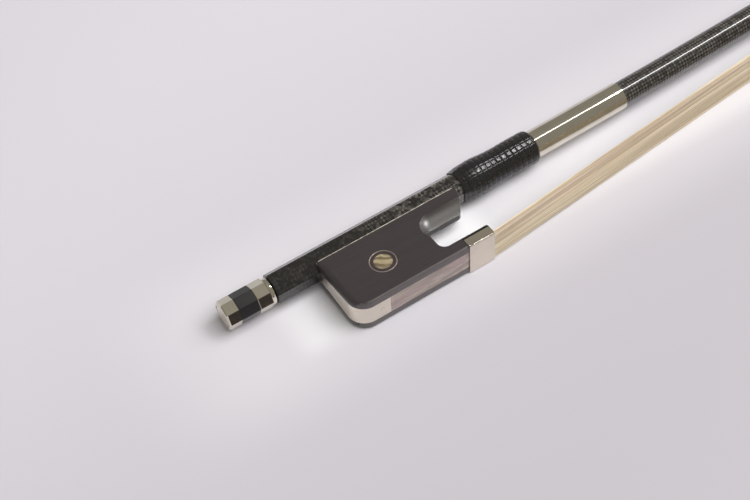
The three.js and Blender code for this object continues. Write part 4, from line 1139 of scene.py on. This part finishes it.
def pearl(name, tones, stretch, turn, pace):
    sheet = Sheet(name)
    x, y, z = sheet.place()
    along = x * math.cos(turn) + y * math.sin(turn) + z * 0.4
    across = y * math.cos(turn) - x * math.sin(turn) + z * 0.9
    bend = sheet.noise(sheet.point(along * stretch, across, z), 0.16, 4.0, 0.6, 1.2)
    fine = sheet.noise(sheet.point(along * stretch, across * 2, z), 0.9, 4.0, 0.65, 0.6)
    wave = (across * pace + bend * 16 + fine * 2.2).one("SINE") * 0.5 + 0.5
    tint = sheet.blend(wave, colour(*tones[0]), colour(*tones[1]))
    tint = sheet.blend(bend.ramp(0.45, 0.65), tint, colour(*tones[2]))
    tint = sheet.blend(fine.ramp(0.55, 0.75) * 0.5, tint, colour(*tones[3]))
    return sheet.finish(
        colour=tint,
        rough=wave * 0.12 + 0.18,
        metal=0.15,
        normal=sheet.bump(wave + fine, 0.02, 0.35),
        coat=0.7,
        coat_rough=0.08,
    )


PEARL_SLIDE_TONES = ((142, 128, 118), (178, 162, 152), (166, 142, 140), (190, 180, 168))
PEARL_EYE_TONES = ((104, 90, 68), (180, 164, 132), (138, 122, 96), (204, 194, 164))
pearl_slide_look = pearl("pearl_slide", PEARL_SLIDE_TONES, 0.22, 0.12, 1.1)
pearl_eye_look = pearl("pearl_eye", PEARL_EYE_TONES, 0.4, -0.6, 2.6)
print("two cuts of pearl are ready")

# %% [markdown]
# The slide is a thin slice, its edges only just broken. Each eye is a domed dot in a thin ring of metal, both
# turned on a lathe, so both are skins of circles set on the leaning cheek.

# %% Pearl slide and eyes
slide = box("pearl_inlay", 29.71, 61.64, FROG_BOTTOM, -27.85, -SLIDE_HALF, SLIDE_HALF)
soften(slide, 0.06, 60)
dress(slide, pearl_slide_look, "frog_unit", "pearl", "pearl_slide")
DOT_PROFILE = [(-1, 3.3), (-0.06, 3.3), (-0.01, 3.25), (0.02, 2.4), (0.03, 0.0)]
RING_PROFILE = [
    (-1, 4.45), (-0.02, 4.45), (0.06, 4.5), (0.1, 4.6), (0.11, 4.675),
    (0.1, 4.75), (0.06, 4.85), (-0.02, 4.9), (-1, 4.9),
]
for word, side in SIDES:
    dot = lathe(f"pearl_dot_{word}", DOT_PROFILE, eye_spot(side))
    ring = lathe(f"silver_eye_ring_{word}", RING_PROFILE, eye_spot(side), True)
    shade_evenly(dot, 40)
    shade_evenly(ring, 40)
    dress(dot, pearl_eye_look, "frog_unit", "pearl", f"eye_dot_{word}")
    dress(ring, silver_satin, "frog_unit", "nickel_silver", f"eye_ring_{word}")

# %% [markdown]
# The head's plate is a thin white tip plate over an ebony liner. Both are the outline of the head seen from
# below, a slice thick, with the hair's mortise cut through. They take that outline from the same line as the
# head, so they always fit it.

# %% Head plate


def plan_outline(inset):
    right = [(u, w - inset) for u, w in PLAN_LINE if u > HEAD_BACK + 0.1]
    right = [(HEAD_BACK + inset, along_line(PLAN_LINE, HEAD_BACK) - inset), *right]
    return [*right, *[(u, -w) for u, w in reversed(right)]]


def head_slice(name, levels):
    rows = [[on_head(u, v, w) for u, w in plan_outline(inset)] for v, inset in levels]
    piece = skin(name, rows)
    carve(piece, head_mortise())
    shade_evenly(piece, 35)
    return piece


def tip_plate_white():
    sheet = Sheet("white_tip_plate")
    x, y, z = sheet.place()
    bands = sheet.noise(sheet.point(x * 0.1, y, z * 0.7), 0.9, 4.0, 0.6)
    tint = sheet.blend(bands.ramp(0.3, 0.7), colour(228, 221, 204), colour(240, 236, 226))
    return sheet.finish(colour=tint, rough=bands * 0.15 + 0.3, normal=sheet.bump(bands, 0.01, 0.5), coat=0.4)


tip_plate = head_slice("tip_plate", [(0.0, 0.16), (0.12, 0.03), (0.3, 0.0), (1.0, 0.0)])
dress(tip_plate, tip_plate_white(), "stick", "white_plate", "head_plate")
tip_liner = head_slice("tip_liner", [(1.06, 0.0), (1.56, 0.0)])
dress(tip_liner, ebony_wood, "stick", "ebony", "head_plate_liner")

# %% [markdown]
# The hair is about a hundred and eighty long white horse hairs, combed flat. All follow one line from the
# ferrule to the head, where it turns into the mortise. The line gives a width and a way outwards at each
# place, and the first use of it is a thin flat band that fills the ribbon.

# %% Hair line
HAIR_FERRULE_WIDTH = 13.4
HAIR_SPREAD_WIDTH = 15.6
HAIR_TIP_WIDTH = 10.6
HAIR_LIFT = 0.6
BAND_HALF = 0.42
BAND_WIDTH_SHARE = 0.975
HEAD_TURN = [
    (0.62, -0.616, 10.6), (2.853, -0.616, 8.4), (3.216, -0.297, 8.4), (3.282, 0.396, 8.4), (3.282, 4.88, 8.4),
]


def hair_line():
    line = [(FERRULE_BACK + 2.2, HAIR_LEVEL, HAIR_FERRULE_WIDTH, 0.0)]
    for x in numpy.linspace(FERRULE_FRONT, STICK_REACH, 25):
        share = (x - FERRULE_FRONT) / (STICK_REACH - FERRULE_FRONT)
        full = math.sin(math.pi / 2 * min(share / 0.3, 1.0))
        wide = HAIR_FERRULE_WIDTH + (HAIR_SPREAD_WIDTH - HAIR_FERRULE_WIDTH) * full
        width = wide + (HAIR_TIP_WIDTH - wide) * share**2
        line.append((x, HAIR_LEVEL + HAIR_RISE * share, width, HAIR_LIFT * math.sin(math.pi * share)))
    for u, v, width in HEAD_TURN:
        x, y, _ = on_head(u, v, 0)
        line.append((x, y, width, 0.0))
    return line


def hair_frames():
    line = hair_line()
    frames = []
    for index, (x, y, width, lift) in enumerate(line):
        before, after = line[max(index - 1, 0)], line[min(index + 1, len(line) - 1)]
        angle = math.atan2(after[1] - before[1], after[0] - before[0])
        frames.append((x, y, width, lift, -math.sin(angle), math.cos(angle)))
    return frames


HAIR_FRAMES = hair_frames()


def on_hair(frame_of, out, side):
    x, y, width, lift, out_x, out_y = frame_of
    return (x + out * out_x, y + out * out_y, side * width / 2 + lift)


band_section = []
for turn in numpy.linspace(0, 2 * math.pi, 40, endpoint=False):
    flat = abs(math.cos(turn)) ** 0.35 * math.copysign(1, math.cos(turn))
    band_section.append((BAND_HALF * flat, BAND_WIDTH_SHARE * math.sin(turn)))
hair = skin("hair_band", [[on_hair(spot, out, side) for out, side in band_section] for spot in HAIR_FRAMES])
print("the hair's line has", len(HAIR_FRAMES), "places and the band", len(hair.data.vertices), "points")

# %% [markdown]
# Strands are laid over both faces of the band and its edges, more of them than a real ribbon has, so that
# threads show from every side. One strand is a three-sided tube of a few dozen faces with a small drift and
# sway of its own. Each keeps a number between nought and one as an attribute, so that its shade can differ
# from its neighbour's. The colour adds fine and broad streaks to that, and the side of the ribbon that faces
# the stick is painted paler, a painted light over the shade it lies in.

# %% Hair strands
generator = numpy.random.default_rng(11)
STRAND_FACES = ((-1, 170), (1, 110), (0, 36))
STRAND_CORNERS = [math.radians(90 + 120 * corner) for corner in range(3)]
strand_shades = []


def strand(face, thick):
    side = generator.uniform(-0.97, 0.97)
    drift = generator.uniform(-0.05, 0.05)
    wander = generator.uniform(0.0, 2 * math.pi)
    depth = BAND_HALF + generator.uniform(-0.06, 0.14)
    sway = generator.uniform(0.002, 0.012)
    rows = []
    for index, spot in enumerate(HAIR_FRAMES):
        share = index / (len(HAIR_FRAMES) - 1)
        here = side + drift * share + sway * math.sin(share * 17 + wander)
        out = face * depth
        if face == 0:
            here = math.copysign(0.985 + sway, side)
            out = 0.38 * math.sin(wander) + 0.05 * math.sin(share * 9 + wander)
        x, y, z = on_hair(spot, out, max(-1.0, min(1.0, here)))
        _, _, _, _, out_x, out_y = spot
        row = []
        for corner in STRAND_CORNERS:
            push = thick * math.sin(corner)
            row.append((x + push * out_x, y + push * out_y, z + thick * math.cos(corner)))
        rows.append(row)
    return rows


strands = []
for face, count in STRAND_FACES:
    for _ in range(count):
        made = skin("strand", strand(face, generator.uniform(0.075, 0.13)))
        strands.append(made)
        strand_shades.append((len(made.data.vertices), generator.uniform(0.0, 1.0)))
band_points = len(hair.data.vertices)
take(hair)
for made in strands:
    made.select_set(True)
bpy.ops.object.join()
shade = hair.data.attributes.new("strand_shade", "FLOAT", "POINT")
shades = [0.45] * band_points
for points, value in strand_shades:
    shades += [value] * points
shade.data.foreach_set("value", shades)
smooth(hair, 70)


def horsehair():
    sheet = Sheet("horsehair")
    x, y, z = sheet.place()
    number = sheet.node("ShaderNodeAttribute", {"attribute_name": "strand_shade"})
    shade = Amount(sheet, number.outputs["Fac"])
    level = y - (x - FERRULE_FRONT) * (HAIR_RISE / (STICK_REACH - FERRULE_FRONT))
    streaks = sheet.noise(sheet.point(x * 0.014, level, z * 1.2), 1.0, 4.0, 0.6)
    fine = sheet.noise(sheet.point(x * 0.012, level * 2, z * 2.1), 1.0, 4.0, 0.7)
    broad = sheet.noise(sheet.point(x * 0.006, level * 0.4, z * 0.55), 1.0, 3.0, 0.55)
    tint = sheet.blend(shade * 0.3 + fine.ramp(0.4, 0.6) * 0.7, colour(180, 160, 128), colour(252, 240, 216))
    tint = sheet.blend(broad.ramp(0.5, 0.62) * 0.35, tint, colour(230, 202, 186))
    tint = sheet.blend(streaks.ramp(0.52, 0.62) * 0.4, tint, colour(196, 178, 132))
    # painted light: the side of the ribbon facing the stick is painted paler to lift its shade
    painted_light_inner_side = level.ramp(HAIR_LEVEL + 0.1, HAIR_LEVEL + 0.5)
    tint = sheet.blend(painted_light_inner_side * 0.8, tint, colour(255, 248, 232))
    return sheet.finish(
        colour=tint,
        rough=0.42 + streaks * 0.15,
        normal=sheet.bump(streaks, 0.05, 0.6),
        sheen=0.1,
        specular=0.45,
    )


dress(hair, horsehair(), None, "horsehair", "hair_ribbon")
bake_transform(hair)

# %% [markdown]
# The small pieces inside hardly show, so their measured shapes are enough, and they only get their real
# finishes: maple wedges with grain, a brass eyelet and steel screws with turning marks, and waxed thread
# wound round the hair's knots.

# %% Finishes of the small pieces


def turned_metal(name, tone, roughness):
    sheet = Sheet(name)
    x, y, z = sheet.place()
    marks = sheet.noise(sheet.point(x * 9, y * 0.3, z * 0.3), 1.0, 3.0, 0.6)
    clouds = sheet.noise(sheet.point(x, y, z), 0.5, 3.0, 0.5)
    tint = sheet.blend(clouds, colour(*tone), colour(*(part * 0.8 for part in tone)))
    rough = marks * 0.1 + roughness
    return sheet.finish(colour=tint, rough=rough, metal=1.0, normal=sheet.bump(marks, 0.01, 0.5))


def maple_wood():
    sheet = Sheet("maple_wedge")
    x, y, z = sheet.place()
    grain = sheet.noise(sheet.point(x * 0.3, y * 4, z * 1.2), 1.0, 5.0, 0.6, 0.4)
    tint = sheet.blend(grain, colour(186, 150, 104), colour(222, 194, 150))
    return sheet.finish(colour=tint, rough=grain * 0.2 + 0.5, normal=sheet.bump(grain, 0.02, 0.5))


def waxed_thread():
    sheet = Sheet("waxed_thread")
    x, y, z = sheet.place()
    turns = (z * 22).one("SINE") * 0.5 + 0.5
    fuzz = sheet.noise(sheet.point(x, y, z), 4.0, 3.0, 0.6)
    tint = sheet.blend(turns * 0.7 + fuzz * 0.3, colour(78, 28, 20), colour(150, 66, 48))
    return sheet.finish(colour=tint, rough=fuzz * 0.2 + 0.55, normal=sheet.bump(turns, 0.06, 0.8))


steel = turned_metal("turned_steel", (196, 196, 194), 0.28)
brass = turned_metal("turned_brass", (206, 166, 96), 0.26)
maple = maple_wood()
thread = waxed_thread()
INNER_LOOKS = {
    steel: ("adjusting_screw", "underslide_screw_front", "underslide_screw_rear"),
    brass: ("eyelet",),
    maple: ("spread_wedge", "frog_hair_plug", "head_hair_plug"),
    thread: ("frog_hair_knot", "head_hair_knot"),
    silver: ("underslide",),
    silver_plate: ("heel_pin_lower", "heel_pin_rear"),
    ebony_wood: ("slide_backing",),
}
for look, names in INNER_LOOKS.items():
    for name in names:
        slots = frame["nodes"][name].data.materials
        slots.clear()
        slots.append(look)
print("small pieces finished:", sum(len(names) for names in INNER_LOOKS.values()))

# %% [markdown]
# The table is one large pale sheet, a stage piece that isn't part of the bow. Its paper is painted a touch
# lighter behind the bow than in front of it, a painted fall-off of the lamps. It is painted lighter again
# beside the frog end, a painted glow round the bow, and lightest in the gap between stick and hair and by the
# frog's back and throat, painted light over the shade that falls there. A lamp reaches only so far, so the
# paper far away also shows its own colour, to the camera and to what mirrors it or is seen through. That
# keeps it pale to its far edge.

# %% Table
TABLE_SIZE = 16.0
BOW_MIDDLE = 337
deselect()
bpy.ops.mesh.primitive_plane_add(size=TABLE_SIZE, location=(0, 0, -0.00002))
table = bpy.context.object
table.name = "table_top"
bpy.ops.object.transform_apply(location=True, rotation=True, scale=True)


def seen_directly(sheet):
    path = sheet.node("ShaderNodeLightPath").outputs
    seen = Amount(sheet, path["Is Camera Ray"])
    for ray in ("Is Glossy Ray", "Is Transmission Ray"):
        seen = seen.maths("MAXIMUM", seen, Amount(sheet, path[ray]))
    return seen


def table_paper():
    sheet = Sheet("pale_table")
    x, y, z = sheet.place()
    # painted fall-off: the paper is painted lighter behind the bow than in front of it
    behind = (y - x * 0.3).ramp(-150.0, 150.0)
    soft = sheet.noise(sheet.point(x, y, z), 0.004, 2.0, 0.5)
    tint = sheet.blend(behind * 0.9 + soft * 0.1, colour(190, 186, 193), colour(222, 219, 228))
    # painted glow: the paper is painted lighter beside the frog end of the bow
    frog_end = x.ramp(-70.0, -10.0) * x.ramp(280.0, 460.0, 1.0, 0.0)
    painted_glow_beside = (y + 6).one("ABSOLUTE").ramp(14.0, 50.0, 0.35, 0.0)
    tint = sheet.blend(painted_glow_beside * frog_end, tint, colour(240, 238, 243))
    # painted light: the gap between stick and hair, by the throat and the frog's back, is painted lighter
    # over its shade
    painted_light_gap = (y + 14).one("ABSOLUTE").ramp(7.0, 17.0, 1.0, 0.0)
    by_throat = x.ramp(38.0, 54.0) * x.ramp(72.0, 84.0, 1.0, 0.35)
    by_back = (x - 9).one("ABSOLUTE").ramp(4.0, 16.0, 0.5, 0.0)
    tint = sheet.blend(painted_light_gap * (by_throat + by_back) * frog_end, tint, colour(251, 250, 253))
    distance = ((x - BOW_MIDDLE) ** 2 + y**2) ** 0.5
    far = distance.ramp(560.0, 1500.0) * 0.55 + distance.ramp(1500.0, 3600.0) * 0.25
    glow = sheet.blend(far * seen_directly(sheet), colour(0, 0, 0), colour(214, 210, 218))
    return sheet.finish(colour=tint, rough=0.75, specular=0.15, glow=glow, glow_level=1.0)


table.data.materials.append(table_paper())
print("the table is", TABLE_SIZE, "m wide")

# %% [markdown]
# Polished metal shows the room, so the room matters as much as the lamps. The room is a dim warm grey, which
# is what the upper half of the sleeve shows. It is a little lighter overhead, and pale low down behind the
# bow, as a paper backdrop would be there.

# %% Room
world = bpy.data.worlds.new("room")
bpy.context.scene.world = world
world.use_nodes = True
room = Sheet("room", world.node_tree)
ways = room.node("ShaderNodeTexCoord").outputs["Generated"]
split = room.node("ShaderNodeSeparateXYZ", None, {0: ways})
way_y = Amount(room, split.outputs["Y"])
way_z = Amount(room, split.outputs["Z"])
WALLS = (0.28, 0.267, 0.235, 1.0)
CEILING = (0.36, 0.345, 0.305, 1.0)
PAPER_CURVE = (0.6, 0.59, 0.59, 1.0)
low_behind = way_y.ramp(0.2, 0.5) * way_z.ramp(0.12, 0.24, 1.0, 0.0)
walls = room.blend(way_z.ramp(0.8, 1.0), WALLS, CEILING)
walls = room.blend(low_behind, walls, PAPER_CURVE)
background = world.node_tree.nodes["Background"]
room.join(background.inputs["Color"], walls)
background.inputs["Strength"].default_value = 1.0
print("the room is set")

# %% [markdown]
# Two broad soft lamps hang over the bow, a smaller key to the front and right and a larger fill nearly
# overhead, so that the shadows stay close and soft. Neither shows in polished faces. What shows there is a
# line of three strip lamps, end to end, that gives the sharp white line along everything round. Each length
# has the strength that suits the leather, sleeve or shaft under it. One small spot lights the hollow over the
# throat alone. A dark card stands in front of the button. Only polished faces see it, and it gives the button
# its dark facet.

# %% Lamps and card
FOCUS = Vector((-0.24, -0.01, 0.0))


def add_lamp(kind, name, place, turn, power):
    deselect()
    bpy.ops.object.light_add(type=kind, location=place)
    lamp = bpy.context.object
    lamp.name = name
    lamp.rotation_euler = turn
    lamp.data.energy = power
    return lamp


def set_size(lamp, size_x, size_y):
    lamp.data.shape = "RECTANGLE"
    lamp.data.size = size_x
    lamp.data.size_y = size_y


LAMP_DISTANCE = 1.5
BROAD_LAMPS = {
    "key_lamp": ((0.553, -0.206, 0.807), 0.9, 7.0),
    "fill_lamp": ((0.2, -0.35, 0.91), 1.2, 18.0),
}
for name, (way, size, power) in BROAD_LAMPS.items():
    way = Vector(way).normalized()
    along = (Vector((1, 0, 0)) - way * way.x).normalized()
    turn = Matrix((along, way.cross(along), way)).transposed().to_euler()
    lamp = add_lamp("AREA", name, FOCUS + way * LAMP_DISTANCE, turn, power)
    set_size(lamp, size, size)
    lamp.visible_glossy = False

STRIP_OUT = -148.2
STRIP_UP = 1124.0
STRIPS = {
    "leather": (505, 631, 0.08, 42.0),
    "sleeve": (631, 758, 0.1, 3.4),
    "shaft": (758, 1600, 0.14, 20.0),
}
for name, (near_end, far_end, width, strength) in STRIPS.items():
    place = at((near_end + far_end) / 2, STRIP_OUT, STRIP_UP)
    length = (far_end - near_end) * MM
    turn = (-math.atan2(-STRIP_OUT, STRIP_UP), 0, 0)
    strip = add_lamp("AREA", f"strip_lamp_{name}", place, turn, strength * math.pi * length * width)
    set_size(strip, length, width)
    strip.visible_diffuse = False

SCOOP = at(55, -10, 3.5)
SCOOP_WAY = Vector((0.74, -0.64, 0.2)).normalized()
scoop_turn = SCOOP_WAY.to_track_quat("Z", "Y").to_euler()
glint = add_lamp("SPOT", "scoop_lamp", SCOOP + SCOOP_WAY * LAMP_DISTANCE, scoop_turn, 130.0)
glint.data.spot_size = math.radians(0.75)
glint.data.spot_blend = 0.7
glint.data.shadow_soft_size = 0.015
glint.visible_diffuse = False
glint.visible_camera = False

CARD_BACK = -63.0
CARD_THICK = 0.6
card = box("black_card", -18, 22, CARD_BACK, CARD_BACK + CARD_THICK, -7.4, 4.0)
card_sheet = Sheet("black_card")
card_fuzz = card_sheet.noise(card_sheet.point(*card_sheet.place()), 0.5)
card_black = card_sheet.blend(card_fuzz, colour(84, 79, 76), colour(94, 88, 84))
card.data.materials.append(card_sheet.finish(colour=card_black, rough=0.9, specular=0.0))
card.visible_camera = False
card.visible_diffuse = False
card.visible_shadow = False

# %% [markdown]
# The camera looks down on the frog end from the front left, close to fifty-two degrees down, with a slight
# roll. Its place, lens and turn came from matching the bow's known lengths to the photograph, so they are
# written as numbers, and the camera isn't aimed by eye.

# %% Camera
CAMERA_PLACE = Vector((-0.472997, -0.317373, 0.449430))
CAMERA_YAW = math.radians(30.07)
CAMERA_PITCH = math.radians(51.86)
CAMERA_ROLL = math.radians(-4.54)
CAMERA_LENS = 78.62
right = Vector((math.cos(CAMERA_YAW), -math.sin(CAMERA_YAW), 0))
away = Vector((math.sin(CAMERA_YAW), math.cos(CAMERA_YAW), 0))
forward = away * math.cos(CAMERA_PITCH) - Vector((0, 0, 1)) * math.sin(CAMERA_PITCH)
up = right.cross(forward)
rolled_right = right * math.cos(CAMERA_ROLL) + up * math.sin(CAMERA_ROLL)
rolled_up = up * math.cos(CAMERA_ROLL) - right * math.sin(CAMERA_ROLL)
deselect()
bpy.ops.object.camera_add(location=CAMERA_PLACE)
camera = bpy.context.object
camera.rotation_euler = Matrix((rolled_right, rolled_up, -forward)).transposed().to_euler()
camera.data.lens = CAMERA_LENS
camera.data.sensor_width = 36.0
bpy.context.scene.camera = camera
bpy.context.scene.view_settings.view_transform = "Standard"
print("the camera's lens is", CAMERA_LENS, "mm")
